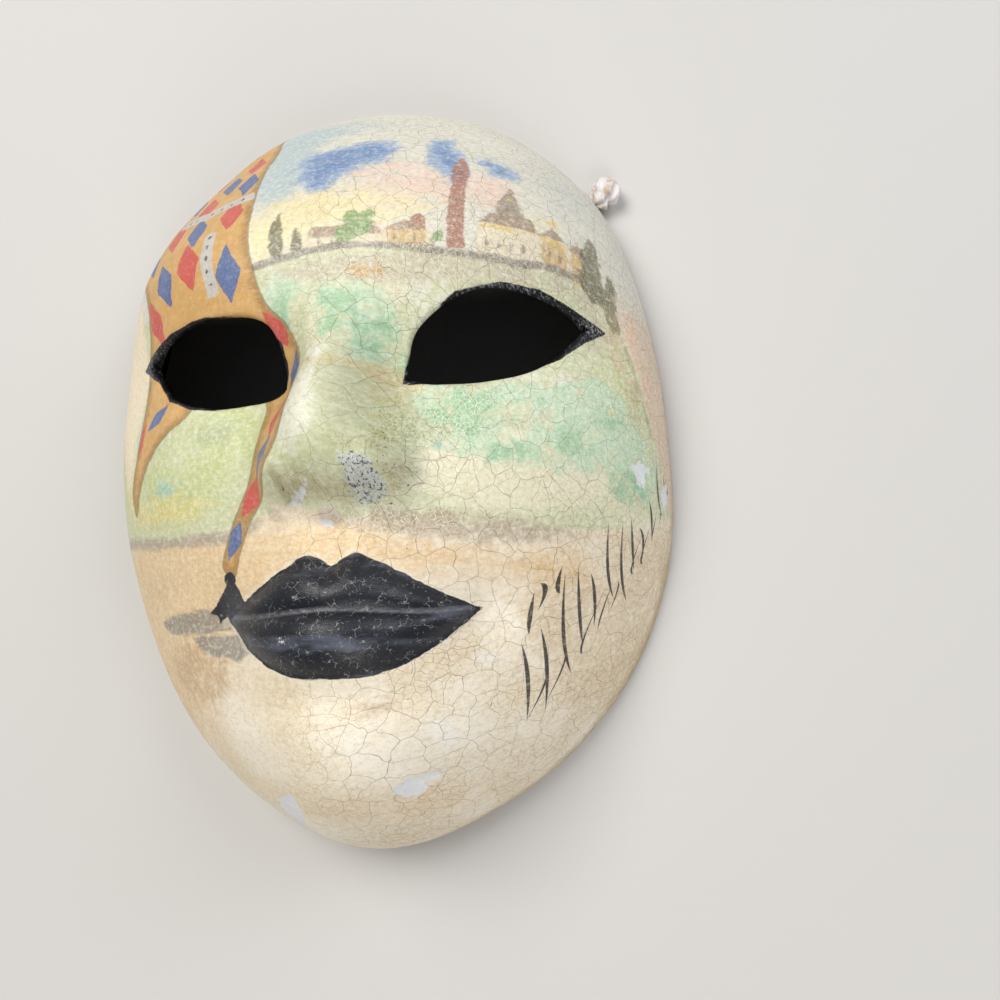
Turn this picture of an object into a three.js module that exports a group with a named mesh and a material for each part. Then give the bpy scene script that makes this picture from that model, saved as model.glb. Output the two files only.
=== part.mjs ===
// A painted papier-mache face mask that lies face up on its rim, with its hanging ribbon.
// Millimetres. +X is the viewer's right, +Y runs up to the forehead, +Z comes out of the face.
// The origin is the middle of the rim's outline, on the plane that the rim rests on.
import * as THREE from 'three';

// Shell
const WALL = 2.6;
const INNER_FLOOR = 0.4;
const HALF_LENGTH = 106;
const HALF_WIDTH = 79.5;

// Rim: distance from the origin by angle above the cheek line, the same on both sides
const RIM_ANGLE = [-90, -72, -50, -25, 0, 25, 50, 70, 90];
const RIM_RADIUS = [HALF_LENGTH, 101, 93.5, 85, HALF_WIDTH, 83.5, 96.5, 104.5, HALF_LENGTH];

// Side wall: height = cap * (1 - s^FLATNESS)^turn, where s is the share of the way out to the rim
const FLATNESS = 3.05;
const TURN_ANGLE = [-90, -45, 0, 45, 90];
const TURN = [0.40, 0.565, 0.495, 0.50, 0.535];

// Cap: height of the face along its middle, from chin to forehead, and how fast it falls sideways
const MIDDLE_Y = [-100, -75, -50, -20, 10, 45, 80];
const MIDDLE_Z = [57, 60.5, 53.5, 53.5, 55, 60.5, 50];
const BOW_Y = [-100, 0, 100];
const BOW = [0.008, 0.002, 0.003];

// Nose: height and half width along the ridge, from the lip up to the brow
const NOSE_Y = [-29, -25, -20, -14, -7, 1, 10, 22, 34];
const NOSE_RISE = [0, 3.5, 10.5, 16.5, 18.5, 15.5, 9, 3, 0];
const NOSE_HALF_Y = [-29, -16, -6, 3, 12, 34];
const NOSE_HALF = [10, 12, 12.5, 10.5, 9.5, 13];
const NOSE_ROUNDNESS = 2.3;

// Lips: the upper edge, the mouth line and the lower edge, from the middle to the corner
const MOUTH_HALF = 29.7;
const LIP_TOP_X = [0, 5.2, 10, 20, MOUTH_HALF];
const LIP_TOP_Y = [-37.8, -35.4, -37.2, -42.6, -47.2];
const MOUTH_X = [0, 8, 18, MOUTH_HALF];
const MOUTH_Y = [-47.0, -47.3, -47.8, -47.2];
const LIP_LOW_X = [0, 8, 16, 23, MOUTH_HALF];
const LIP_LOW_Y = [-60.7, -60.3, -57.6, -53.0, -47.2];
const UPPER_LIP = 3.2;
const LOWER_LIP = 4.6;

// Rises and hollows of the face: place, reach across and along, and height
const BUMPS = [
  { name: 'muzzle', x: 0, y: -50, wide: 22, long: 28, rise: 7 },
  { name: 'chin', x: 0, y: -88, wide: 20, long: 15, rise: 7 },
];
const FEATURES = [
  { name: 'nostril wing', x: 12, y: -17, wide: 5, long: 6, rise: 6.5 },
  { name: 'nostril', x: 7, y: -24, wide: 3.4, long: 3, rise: -1.6 },
  { name: 'inner socket', x: 17, y: 6, wide: 11, long: 11, rise: -5.5 },
  { name: 'outer socket', x: 42, y: 14, wide: 22, long: 12, rise: -3 },
  { name: 'temple', x: 64, y: 21, wide: 14, long: 12, rise: -3.5 },
  { name: 'brow', x: 32, y: 39, wide: 28, long: 9, rise: 1.8 },
  { name: 'cheek', x: 45, y: -13, wide: 20, long: 16, rise: 1.5 },
  { name: 'mouth corner', x: 31.5, y: -47.5, wide: 8, long: 8, rise: -3 },
  { name: 'philtrum', x: 0, y: -32.5, wide: 3.2, long: 6, rise: -1.5 },
  { name: 'hollow under the lip', x: 0, y: -66, wide: 20, long: 5.5, rise: -3 },
];
const FEATURE_FADE = 0.22;

// Eye openings, cut by hand: five places on each lid, from the nose out to the temple
const EYES = {
  right: {
    upper: [[15.5, 6.6], [19, 17], [33, 25.6], [47.5, 25.4], [58.5, 21]],
    lower: [[15.5, 6.6], [23, 5.2], [34, 4.9], [46.5, 9.2], [58.5, 21]],
  },
  left: {
    upper: [[13.6, 5.6], [17, 20], [31, 23.8], [46, 23], [57, 19.6]],
    lower: [[13.6, 5.6], [22, 3.6], [32, 2.8], [46, 8], [57, 19.6]],
  },
};

// Grid of the shell on a square from -1 to 1, [end of the band, cells in it]
const EYE_ROW = 0.12;
const EYE_IN = 0.05;
const EYE_TURN = 0.12;
const EYE_OUT = 0.53;
const INNER_EDGE = 0.25;
const EYE_REACH_UP = 0.5;
const EYE_REACH_DOWN = 0.36;
const COLUMN_BANDS = [[EYE_IN, 3], [EYE_TURN, 4], [EYE_OUT, 8], [1, 6]];
const ROW_BANDS = [
  [-0.62, 5], [-0.40, 3], [-0.294, 5], [-0.22, 4], [-0.04, 8], [EYE_ROW, 5], [0.24, 4], [1, 9],
];

// The rim is lifted a little where the ribbon passes under it
const RIBBON_ANGLE = 49;
const LIFT = 2.2;
const LIFT_FLAT = 6;
const LIFT_END = 15;

// Ribbon: flat satin, glued in the left temple and knotted outside the right one
const RIBBON_WIDTH = 8;
const RIBBON_THICK = 0.8;
const RIBBON_STEPS = 48;
const RIBBON_ROUTE = [
  [-61.2, 61.6, 8.0], [-57.6, 60.8, 6.0], [-53.2, 60.4, 3.5], [-48.5, 60.9, 1.6], [-43.2, 62.6, 0.9],
  [-37.5, 65.6, 0.9], [-31.0, 69.6, 0.9], [-23.5, 73.4, 0.9], [-15.0, 76.0, 0.9], [-6.0, 76.8, 0.9],
  [3.0, 75.6, 0.9], [11.5, 72.6, 0.9], [19.5, 68.4, 0.9], [27.5, 64.4, 0.9], [35.8, 61.8, 0.9],
  [43.6, 61.4, 0.9], [50.8, 63.6, 0.9], [57.0, 68.2, 0.9], [62.4, 73.3, 0.9],
];
const KNOT_PLACE = [66.3, 76.9, 4.3];
const KNOT_RADII = [4.8, 4.8, 4.2];

const DEGREE = Math.PI / 180;
const clamp = (value, low, high) => Math.min(Math.max(value, low), high);
const bell = (x, y, b) => b.rise * Math.exp(-(((x - b.x) / b.wide) ** 2) - (((y - b.y) / b.long) ** 2));

// Smooth curve through the stations; its slopes come from the neighbours, and flat ends have none
function smooth(stations, values, at, flatEnds = true) {
  const last = stations.length - 1;
  const slope = (i) => {
    if (i === 0 || i === last) {
      const j = i === 0 ? 0 : last - 1;
      return flatEnds ? 0 : (values[j + 1] - values[j]) / (stations[j + 1] - stations[j]);
    }
    const back = stations[i] - stations[i - 1];
    const ahead = stations[i + 1] - stations[i];
    const rise = back * back * values[i + 1] + (ahead * ahead - back * back) * values[i];
    return (rise - ahead * ahead * values[i - 1]) / (back * ahead * (back + ahead));
  };
  const x = clamp(at, stations[0], stations[last]);
  let i = 0;
  while (i < last - 1 && x > stations[i + 1]) i += 1;
  const step = stations[i + 1] - stations[i];
  const t = (x - stations[i]) / step;
  const ends = values[i] * (1 + 2 * t) * (1 - t) ** 2 + values[i + 1] * t * t * (3 - 2 * t);
  return ends + step * (slope(i) * t * (1 - t) ** 2 + slope(i + 1) * t * t * (t - 1));
}

// Angle of a point above the cheek line, the same for the left side and the right
const elevation = (x, y) => Math.atan2(y, Math.abs(x)) / DEGREE;
const rimRadius = (x, y) => smooth(RIM_ANGLE, RIM_RADIUS, elevation(x, y));

function capHeight(x, y) {
  const fall = smooth(BOW_Y, BOW, y) * x * x;
  const bumps = BUMPS.reduce((sum, b) => sum + bell(x, y, b), 0);
  return Math.max(smooth(MIDDLE_Y, MIDDLE_Z, y, false) - fall + bumps, 1);
}

function noseHeight(x, y) {
  const half = smooth(NOSE_HALF_Y, NOSE_HALF, y);
  return smooth(NOSE_Y, NOSE_RISE, y) * Math.exp(-(Math.abs(x / half) ** NOSE_ROUNDNESS));
}

// Each lip is a roll from the mouth line out to its painted edge, and dies at the corners
function lipHeight(x, y) {
  const out = Math.abs(x);
  if (out >= MOUTH_HALF) return 0;
  const line = smooth(MOUTH_X, MOUTH_Y, out);
  const fade = (1 - (out / MOUTH_HALF) ** 2) ** 0.6;
  const roll = (share, fullness) => Math.sin(Math.PI * (0.1 + 0.9 * clamp(share, 0, 1)) ** fullness);
  if (y >= line) {
    const top = smooth(LIP_TOP_X, LIP_TOP_Y, out, false);
    return UPPER_LIP * fade * roll((y - line) / Math.max(top - line, 0.5), 0.75);
  }
  const low = smooth(LIP_LOW_X, LIP_LOW_Y, out, false);
  return LOWER_LIP * fade * roll((line - y) / Math.max(line - low, 0.5), 0.8);
}

// Height of the outer face over any point inside the rim
function faceHeight(x, y) {
  const share = clamp(Math.hypot(x, y) / rimRadius(x, y), 0, 1);
  const turn = smooth(TURN_ANGLE, TURN, elevation(x, y));
  const dome = capHeight(x, y) * Math.max(1 - share ** FLATNESS, 0) ** turn;
  const inside = clamp((1 - share) / FEATURE_FADE, 0, 1);
  const features = FEATURES.reduce((sum, b) => sum + bell(Math.abs(x), y, b), 0);
  const relief = noseHeight(x, y) + lipHeight(x, y) + features;
  return dome + relief * inside * inside * (3 - 2 * inside);
}

// Direction out of the face, from the slope of the height; at the rim it lies level
function outward(x, y) {
  const step = 0.25;
  const share = Math.hypot(x, y) / rimRadius(x, y);
  const pull = Math.min(1, 0.996 / Math.max(share, 1e-6));
  const [px, py] = [x * pull, y * pull];
  const slopeX = (faceHeight(px + step, py) - faceHeight(px - step, py)) / (2 * step);
  const slopeY = (faceHeight(px, py + step) - faceHeight(px, py - step)) / (2 * step);
  const normal = new THREE.Vector3(-slopeX, -slopeY, 1);
  if (share > 0.9999) normal.set(x, y, 0);
  return normal.normalize();
}

// Square to mask: the square becomes a disk, and the disk is stretched out to the rim
function squareToPlane(u, v) {
  const a = u * Math.sqrt(1 - v * v / 2);
  const b = v * Math.sqrt(1 - u * u / 2);
  const share = Math.sin(Math.min(Math.hypot(a, b), 1) * Math.PI / 2);
  const radius = share * rimRadius(a, b);
  const length = Math.hypot(a, b) || 1;
  return [radius * a / length, radius * b / length];
}

// Mask to square, the same way back
function planeToSquare(x, y) {
  const radius = Math.hypot(x, y);
  const share = Math.asin(clamp(radius / rimRadius(x, y), 0, 1)) * 2 / Math.PI;
  const a = share * x / radius;
  const b = share * y / radius;
  const root = (sum) => Math.sqrt(Math.max(sum, 0));
  const base = 2 + a * a - b * b;
  const side = 2 - a * a + b * b;
  const u = (root(base + 2 * Math.SQRT2 * a) - root(base - 2 * Math.SQRT2 * a)) / 2;
  const v = (root(side + 2 * Math.SQRT2 * b) - root(side - 2 * Math.SQRT2 * b)) / 2;
  return [u, v];
}

// Where a lid lies on the square, for a share of the way from the nose out to the temple
function lidOnSquare(side, lid, share) {
  const points = EYES[side][lid];
  const stations = points.map((_, i) => i / (points.length - 1));
  const x = smooth(stations, points.map((p) => p[0]), share, false);
  const y = smooth(stations, points.map((p) => p[1]), share, false);
  return planeToSquare(x, y);
}

// The eye row of the grid is a slit that opens into both eyes: how far a column's lid moves
function lidShift(u, lid) {
  const side = u < 0 ? 'left' : 'right';
  const sign = Math.sign(u) || 1;
  const out = Math.abs(u);
  const shiftAt = (name, share, column) => {
    const [lu, lv] = lidOnSquare(name, lid, share);
    return [lu - column, lv - EYE_ROW];
  };
  if (out < EYE_IN) {
    const [leftU, leftV] = shiftAt('left', 0, EYE_IN);
    const [rightU, rightV] = shiftAt('right', 0, EYE_IN);
    const mix = (u / EYE_IN + 1) / 2;
    return [rightU * mix - leftU * (1 - mix), rightV * mix + leftV * (1 - mix)];
  }
  if (out > EYE_OUT) {
    const [cornerU, cornerV] = shiftAt(side, 1, EYE_OUT);
    const fade = (1 - ((out - EYE_OUT) / (1 - EYE_OUT)) ** 2) ** 2;
    return [sign * cornerU * fade, cornerV * fade];
  }
  const along = smooth([EYE_IN, EYE_TURN, EYE_OUT], [0, INNER_EDGE, 1], out, false);
  const [shiftU, shiftV] = shiftAt(side, along, out);
  return [sign * shiftU, shiftV];
}

// How far the rim is off the table: not at all, but for the stretch that the ribbon passes under
function rimLift(x, y) {
  const away = Math.abs(Math.atan2(y, x) / DEGREE - RIBBON_ANGLE);
  const share = clamp((LIFT_END - away) / (LIFT_END - LIFT_FLAT), 0, 1);
  return LIFT * share * share * (3 - 2 * share);
}

// One grid vertex: its outer and its inner point
function shellPoint(u, v, lid) {
  const reach = lid === 'upper' ? EYE_REACH_UP : EYE_REACH_DOWN;
  const away = Math.min(Math.abs(v - EYE_ROW) / reach, 1);
  const [shiftU, shiftV] = lidShift(u, lid);
  const [x, y] = squareToPlane(u + shiftU * (1 - away) ** 2, v + shiftV * (1 - away * away) ** 2);
  const normal = outward(x, y);
  const z = Math.hypot(faceHeight(x, y), rimLift(x, y));
  const outer = new THREE.Vector3(x, y, z);
  const inner = outer.clone().addScaledVector(normal, -WALL);
  inner.z = Math.max(inner.z, z * INNER_FLOOR);
  return { outer, inner };
}

function bandStations(start, bands) {
  const stations = [start];
  for (const [end, cells] of bands) {
    const from = stations[stations.length - 1];
    for (let i = 1; i <= cells; i += 1) stations.push(from + (end - from) * i / cells);
  }
  return stations;
}

function maskShell() {
  const half = bandStations(0, COLUMN_BANDS);
  const columns = [...half.slice(1).reverse().map((u) => -u), ...half];
  const rows = bandStations(-1, ROW_BANDS);
  const across = columns.length;
  const eyeRow = rows.findIndex((v) => Math.abs(v - EYE_ROW) < 1e-9);
  const inEye = (i) => Math.abs(columns[i]) > EYE_IN + 1e-9 && Math.abs(columns[i]) < EYE_OUT - 1e-9;
  const outer = [];
  const inner = [];
  const add = (point) => outer.push(point.outer) && inner.push(point.inner);
  rows.forEach((v, j) => columns.forEach((u) => add(shellPoint(u, v, j < eyeRow ? 'lower' : 'upper'))));
  const lowerLid = columns.map((u, i) => {
    if (!inEye(i)) return eyeRow * across + i;
    add(shellPoint(u, EYE_ROW, 'lower'));
    return outer.length - 1;
  });
  const vertex = (i, j, below) => (j === eyeRow && below ? lowerLid[i] : j * across + i);

  const count = outer.length;
  const faces = [];
  const quad = (a, b, c, d, turned) => {
    if (turned) faces.push([a, b, d], [b, c, d]);
    else faces.push([a, b, c], [a, c, d]);
  };
  const span = (a, b) => outer[a].distanceTo(outer[b]);
  for (let j = 0; j < rows.length - 1; j += 1) {
    for (let i = 0; i < across - 1; i += 1) {
      const below = j + 1 === eyeRow;
      const corners = [vertex(i, j), vertex(i + 1, j), vertex(i + 1, j + 1, below), vertex(i, j + 1, below)];
      const [a, b, c, d] = corners;
      const turned = span(b, d) < span(a, c);
      quad(a, b, c, d, turned);
      const [e, f, g, h] = corners.map((k) => k + count);
      quad(h, g, f, e, !turned);
    }
  }
  const wall = (a, b) => quad(b, a, a + count, b + count, false);
  const last = rows.length - 1;
  for (let i = 0; i < across - 1; i += 1) {
    wall(vertex(i, 0), vertex(i + 1, 0));
    wall(vertex(i + 1, last), vertex(i, last));
    const eyeCell = inEye(i) || inEye(i + 1);
    if (eyeCell) {
      wall(vertex(i, eyeRow), vertex(i + 1, eyeRow));
      wall(lowerLid[i + 1], lowerLid[i]);
    }
  }
  for (let j = 0; j < last; j += 1) {
    wall(vertex(across - 1, j), vertex(across - 1, j + 1));
    wall(vertex(0, j + 1), vertex(0, j));
  }
  const geometry = new THREE.BufferGeometry().setFromPoints([...outer, ...inner]);
  geometry.setIndex(faces.flat());
  geometry.computeVertexNormals();
  return geometry;
}

// Flat section with rounded corners, swept along the route; its width stays level
function ribbonStrip() {
  const half = RIBBON_WIDTH / 2;
  const thin = RIBBON_THICK / 2;
  const quarter = [[half - thin, thin], [half, thin / 2]];
  const right = [...quarter, ...quarter.map(([w, h]) => [w, -h]).reverse()];
  const section = [...right, ...right.map(([w, h]) => [-w, -h])];
  const route = new THREE.CatmullRomCurve3(RIBBON_ROUTE.map((p) => new THREE.Vector3(...p)));
  const points = [];
  for (let i = 0; i <= RIBBON_STEPS; i += 1) {
    const centre = route.getPointAt(i / RIBBON_STEPS);
    const along = route.getTangentAt(i / RIBBON_STEPS);
    const side = new THREE.Vector3(along.y, -along.x, 0).normalize();
    const up = side.clone().cross(along);
    section.forEach(([w, h]) => points.push(centre.clone().addScaledVector(side, w).addScaledVector(up, h)));
  }
  const round = section.length;
  const faces = [];
  for (let i = 0; i < RIBBON_STEPS; i += 1) {
    for (let k = 0; k < round; k += 1) {
      const [a, b] = [i * round + k, i * round + (k + 1) % round];
      faces.push([a, b, a + round], [b, b + round, a + round]);
    }
  }
  const end = RIBBON_STEPS * round;
  for (let k = 1; k < round - 1; k += 1) faces.push([0, k + 1, k], [end, end + k, end + k + 1]);
  const geometry = new THREE.BufferGeometry().setFromPoints(points);
  geometry.setIndex(faces.flat());
  geometry.computeVertexNormals();
  return geometry;
}

function ribbonKnot() {
  const geometry = new THREE.SphereGeometry(1, 12, 8);
  geometry.scale(...KNOT_RADII);
  geometry.translate(...KNOT_PLACE);
  return geometry;
}

function named(name, geometry, color, roughness) {
  const material = new THREE.MeshStandardMaterial({ color, roughness, metalness: 0 });
  const mesh = new THREE.Mesh(geometry, material);
  mesh.name = name;
  return mesh;
}

const mask = new THREE.Group();
mask.add(named('mask_shell', maskShell(), 0xd8c8a0, 0.45));
mask.add(named('hanging_ribbon', ribbonStrip(), 0xece6e2, 0.35));
mask.add(named('ribbon_knot', ribbonKnot(), 0xece6e2, 0.35));

export default mask;
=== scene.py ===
# %% [markdown]
# # A hand-painted papier-mache mask
#
# The real object is a full face mask. Paper pulp and glue were pressed into a mould, the dry shell
# got a coat of gesso and was painted by hand, and a varnish over it shrank into a net of fine cracks.
#
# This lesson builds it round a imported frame, which holds the sizes. First come the camera and the
# ribbon, then the shell as a height over a plane, then the paint as layers, and last the light.

import bmesh
import bpy
import numpy as np
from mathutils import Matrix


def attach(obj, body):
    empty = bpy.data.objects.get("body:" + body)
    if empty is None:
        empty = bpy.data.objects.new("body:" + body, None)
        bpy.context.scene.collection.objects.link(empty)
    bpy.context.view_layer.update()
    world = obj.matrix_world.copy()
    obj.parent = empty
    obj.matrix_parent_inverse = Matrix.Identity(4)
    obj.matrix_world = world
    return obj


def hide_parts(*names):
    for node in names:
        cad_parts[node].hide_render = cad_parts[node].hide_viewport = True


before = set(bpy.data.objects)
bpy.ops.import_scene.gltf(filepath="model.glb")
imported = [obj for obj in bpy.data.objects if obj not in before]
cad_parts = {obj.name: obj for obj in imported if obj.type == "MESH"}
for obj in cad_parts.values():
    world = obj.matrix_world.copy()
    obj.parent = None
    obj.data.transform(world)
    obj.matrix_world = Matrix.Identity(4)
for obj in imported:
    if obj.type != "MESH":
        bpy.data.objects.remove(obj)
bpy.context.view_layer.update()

MM = 0.001
print("nodes in the frame:", sorted(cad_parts))

# %% [markdown]
# ## The camera
#
# The mask lies face up, and the photograph was taken by hand from just above it, so its forehead
# looks small and its chin and cheek look near. A camera only 0.2 m away gives that perspective. One
# far away with a long lens would be easier to light, but would flatten the face.

# %% Camera
CAMERA_PLACE_MM = (54.6, -54.4, 212.4)
CAMERA_TURN = (0.181, 0.119, -0.036)
CAMERA_LENS = 27.0

lens = bpy.data.cameras.new("camera")
lens.lens = CAMERA_LENS
lens.sensor_width = 36.0
lens.clip_start = 0.01
camera = bpy.data.objects.new("camera", lens)
camera.location = [c * MM for c in CAMERA_PLACE_MM]
camera.rotation_euler = CAMERA_TURN
bpy.context.scene.collection.objects.link(camera)
bpy.context.scene.camera = camera
print("camera height above the table, mm:", CAMERA_PLACE_MM[2])

# %% [markdown]
# ## Two small helpers
#
# Most pieces here are rings of points that follow each other, closed at both ends. One function
# skins such rings, and another puts points and faces into a Blender mesh. Working out whole arrays
# with numpy keeps this quick, where a loop over vertices would be slow and harder to read.


# %% Rings of points into a closed mesh
def skin(rings):
    """Quads between each ring and the next, and a fan of triangles from each end ring's middle."""
    count, around = rings.shape[:2]
    number = np.arange(count * around).reshape(count, around)
    ahead = np.roll(number, -1, axis=1)
    quads = np.stack([number[:-1], ahead[:-1], ahead[1:], number[1:]], -1).reshape(-1, 4)
    middle = [rings[0].mean(0), rings[-1].mean(0)]
    first = np.full(around, number.size)
    fans = [np.stack([first, ahead[0], number[0]], -1), np.stack([first + 1, number[-1], ahead[-1]], -1)]
    points = np.concatenate([rings.reshape(-1, 3), middle])
    return points, quads.tolist() + np.concatenate(fans).tolist()


print("faces of three rings of four points:", len(skin(np.zeros((3, 4, 3)))[1]))


def make_piece(name, points, faces, materials, material_of_face=None):
    """One object at the origin, from points in mm, with its faces turned outwards."""
    mesh = bpy.data.meshes.new(name)
    mesh.from_pydata((np.asarray(points) * MM).tolist(), [], faces)
    for material in materials:
        mesh.materials.append(material)
    if material_of_face is not None:
        mesh.polygons.foreach_set("material_index", material_of_face)
    shape = bmesh.new()
    shape.from_mesh(mesh)
    bmesh.ops.recalc_face_normals(shape, faces=shape.faces)
    shape.to_mesh(mesh)
    shape.free()
    mesh.polygons.foreach_set("use_smooth", np.ones(len(mesh.polygons), bool))
    piece = bpy.data.objects.new(name, mesh)
    bpy.context.scene.collection.objects.link(piece)
    print(f"{name}: {len(mesh.vertices)} points, {len(mesh.polygons)} faces")
    return piece


# %% [markdown]
# ## Colours and nodes
#
# A painter names colours as they look, so they are written as sRGB hex values, and one function
# turns them into the linear values that Blender's shaders work with. One more function adds a node.


# %% Colour and node helpers
def linear(hex_colour):
    """sRGB hex to linear: v / 12.92 below 0.04045, and ((v + 0.055) / 1.055) to the 2.4 above."""
    value = np.array([int(hex_colour[i : i + 2], 16) for i in (1, 3, 5)]) / 255
    low = value / 12.92
    high = ((value + 0.055) / 1.055) ** 2.4
    return (*np.where(value <= 0.04045, low, high), 1.0)


def node(tree, kind, inputs=None, out=0, **settings):
    """Adds one node with its settings and its inputs, each a value or another node's output."""
    made = tree.nodes.new("ShaderNode" + kind)
    for name, value in settings.items():
        setattr(made, name, value)
    for key, value in (inputs or {}).items():
        if isinstance(value, bpy.types.NodeSocket):
            tree.links.new(value, made.inputs[key])
        else:
            made.inputs[key].default_value = value
    return made.outputs[out]


def new_material(name, **shader_values):
    """An empty material with one Principled shader, whose plain values are set on its own sockets."""
    material = bpy.data.materials.new(name)
    material.use_nodes = True
    shader = material.node_tree.nodes["Principled BSDF"]
    for socket, value in shader_values.items():
        shader.inputs[socket.replace("_", " ")].default_value = value
    return material, material.node_tree, shader


print("half of full brightness, linear:", round(linear("#808080")[0], 3))

# %% [markdown]
# ## The ribbon
#
# A white satin ribbon is glued inside the left temple, lies on the table in the hollow under the
# forehead, and comes out under the rim, where its end is knotted. Only the knot shows in the
# photograph. The ribbon is a flat section carried along its route, which keeps its width level. A
# cloth simulation could lay it too, but a ribbon this narrow holds its shape where it was put.

# %% Route of the ribbon, in metres
RIBBON_WIDTH_MM = 8.0
RIBBON_ROUTE = [
    (-0.0612, 0.0616, 0.0080), (-0.0576, 0.0608, 0.0060), (-0.0532, 0.0604, 0.0035),
    (-0.0485, 0.0609, 0.0016), (-0.0432, 0.0626, 0.0009), (-0.0375, 0.0656, 0.0009),
    (-0.0310, 0.0696, 0.0009), (-0.0235, 0.0734, 0.0009), (-0.0150, 0.0760, 0.0009),
    (-0.0060, 0.0768, 0.0009), (0.0030, 0.0756, 0.0009), (0.0115, 0.0726, 0.0009),
    (0.0195, 0.0684, 0.0009), (0.0275, 0.0644, 0.0009), (0.0358, 0.0618, 0.0009),
    (0.0436, 0.0614, 0.0009), (0.0508, 0.0636, 0.0009), (0.0570, 0.0682, 0.0009),
    (0.0624, 0.0733, 0.0009),
]
STEPS_PER_SPAN = 9


def way_along(line):
    """How far each point of a line is from its start, along it."""
    return np.concatenate([[0], np.cumsum(np.linalg.norm(np.diff(line, axis=0), axis=1))])


def follow(points, steps):
    """Catmull-Rom curve: between two points it is the cubic whose slope at each is half the way
    from the point before to the point after."""
    p = np.asarray(points, float)
    p = np.vstack([2 * p[0] - p[1], p, 2 * p[-1] - p[-2]])
    t = np.linspace(0, 1, steps, endpoint=False)[:, None, None]
    a, b, c, d = p[:-3], p[1:-2], p[2:-1], p[3:]
    cubic = b + t / 2 * (c - a + t * (2 * a - 5 * b + 4 * c - d + t * (3 * (b - c) + d - a)))
    return np.vstack([cubic.transpose(1, 0, 2).reshape(-1, p.shape[1]), p[-2]])


ribbon_line = follow(RIBBON_ROUTE, STEPS_PER_SPAN)

# %% [markdown]
# Satin is woven so that long threads lie on its face. That gives it a soft sheen along the ribbon
# and fine lines across it. The ribbon's own UV map holds millimetres along and across, so the
# threads follow each bend. Real threads are finer than this: they are drawn as coarse as they need
# to be to show. The folds have taken on some dull gold with age.

# %% Satin: a woven white polyester ribbon, soft and slightly glossy
SATIN_WHITE = "#E9E6E4"
SATIN_SHADE = "#D2C9CC"
AGED_GOLD = "#BC9A5C"
THREAD_MM = 0.69
# A wave texture has 20 radians to each unit of its scale
WAVE_SCALE = 2 * np.pi / 20 / THREAD_MM
FOLDS_PER_M = 420.0

satin, tree, shader = new_material("woven_satin_ribbon", Roughness=0.38, Sheen_Weight=0.4, IOR=1.5)
threads = node(tree, "TexWave", {0: node(tree, "UVMap", uv_map="UVMap"), "Scale": WAVE_SCALE,
    "Distortion": 0.6}, out=1, bands_direction="X")
folds = node(tree, "TexNoise", {0: node(tree, "TexCoord", out=3), "Scale": FOLDS_PER_M, "Detail": 3.0})
# The darker, pinkish tone that the noise mixes in is painted shade in the satin's folds
shade = node(tree, "Mix", {0: folds, 6: linear(SATIN_WHITE), 7: linear(SATIN_SHADE)}, out=2,
    data_type="RGBA")
gilt = node(tree, "MapRange", {0: folds, 1: 0.52, 2: 0.66, 4: 0.65})
shade = node(tree, "Mix", {0: gilt, 6: shade, 7: linear(AGED_GOLD)}, out=2, data_type="RGBA")
tree.links.new(shade, shader.inputs["Base Color"])
bump = node(tree, "Bump", {"Strength": 0.25, "Distance": 0.00006, "Height": threads})
tree.links.new(bump, shader.inputs["Normal"])
print("satin threads, mm:", THREAD_MM)

# %% Ribbon strip
RIBBON_THICK_MM = 0.45
RIPPLE_MM = 0.18
RIPPLE_LENGTH_MM = 19.0
AROUND = 28


def ribbon_rings(line_m):
    """A flat oval section, (half width * cos^0.5, half thickness * sin^0.7), carried along the line;
    it is raised by ripple * sin(2 pi * (way along + across) / length)."""
    line = line_m / MM
    way = way_along(line)
    along = np.gradient(line, axis=0)
    along /= np.linalg.norm(along, axis=1, keepdims=True)
    side = np.stack([along[:, 1], -along[:, 0], 0 * along[:, 0]], -1)
    side /= np.linalg.norm(side, axis=1, keepdims=True)
    up = np.cross(side, along)
    angle = np.linspace(0, 2 * np.pi, AROUND, endpoint=False)
    power = lambda value, n: np.sign(value) * np.abs(value) ** n
    across = RIBBON_WIDTH_MM / 2 * power(np.cos(angle), 0.5)
    thick = RIBBON_THICK_MM / 2 * power(np.sin(angle), 0.7)
    ripple = RIPPLE_MM * np.sin(2 * np.pi * (way[:, None] + across) / RIPPLE_LENGTH_MM)
    lift = (thick + ripple)[..., None]
    rings = line[:, None] + across[None, :, None] * side[:, None] + lift * up[:, None]
    return rings, way, across


rings, way, across = ribbon_rings(ribbon_line)
ribbon = make_piece("satin_ribbon", *skin(rings), [satin])
layer = ribbon.data.uv_layers.new(name="UVMap")
spots = np.concatenate([np.stack(np.broadcast_arrays(way[:, None], across), -1).reshape(-1, 2),
    [[way[0], 0], [way[-1], 0]]])
corner = np.empty(len(ribbon.data.loops), int)
ribbon.data.loops.foreach_get("vertex_index", corner)
layer.data.foreach_set("uv", spots[corner].ravel())

# %% [markdown]
# The knot is a small scrunched tuft: the ribbon's end, tied so that its folds stand out round a
# waist. It is one closed surface, an egg whose radius is folded with a cosine.

# %% Knot at the end of the ribbon
KNOT_PLACE_MM = (66.3, 76.9, 4.3)
KNOT_RADIUS_MM = 4.7
KNOT_HEIGHT_MM = 4.15
KNOT_HEADING = np.radians(49)
KNOT_FOLDS = 7
# Across its axis the egg is drawn in, so that its folds stay within the radius
KNOT_SLIM = 0.86


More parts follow.
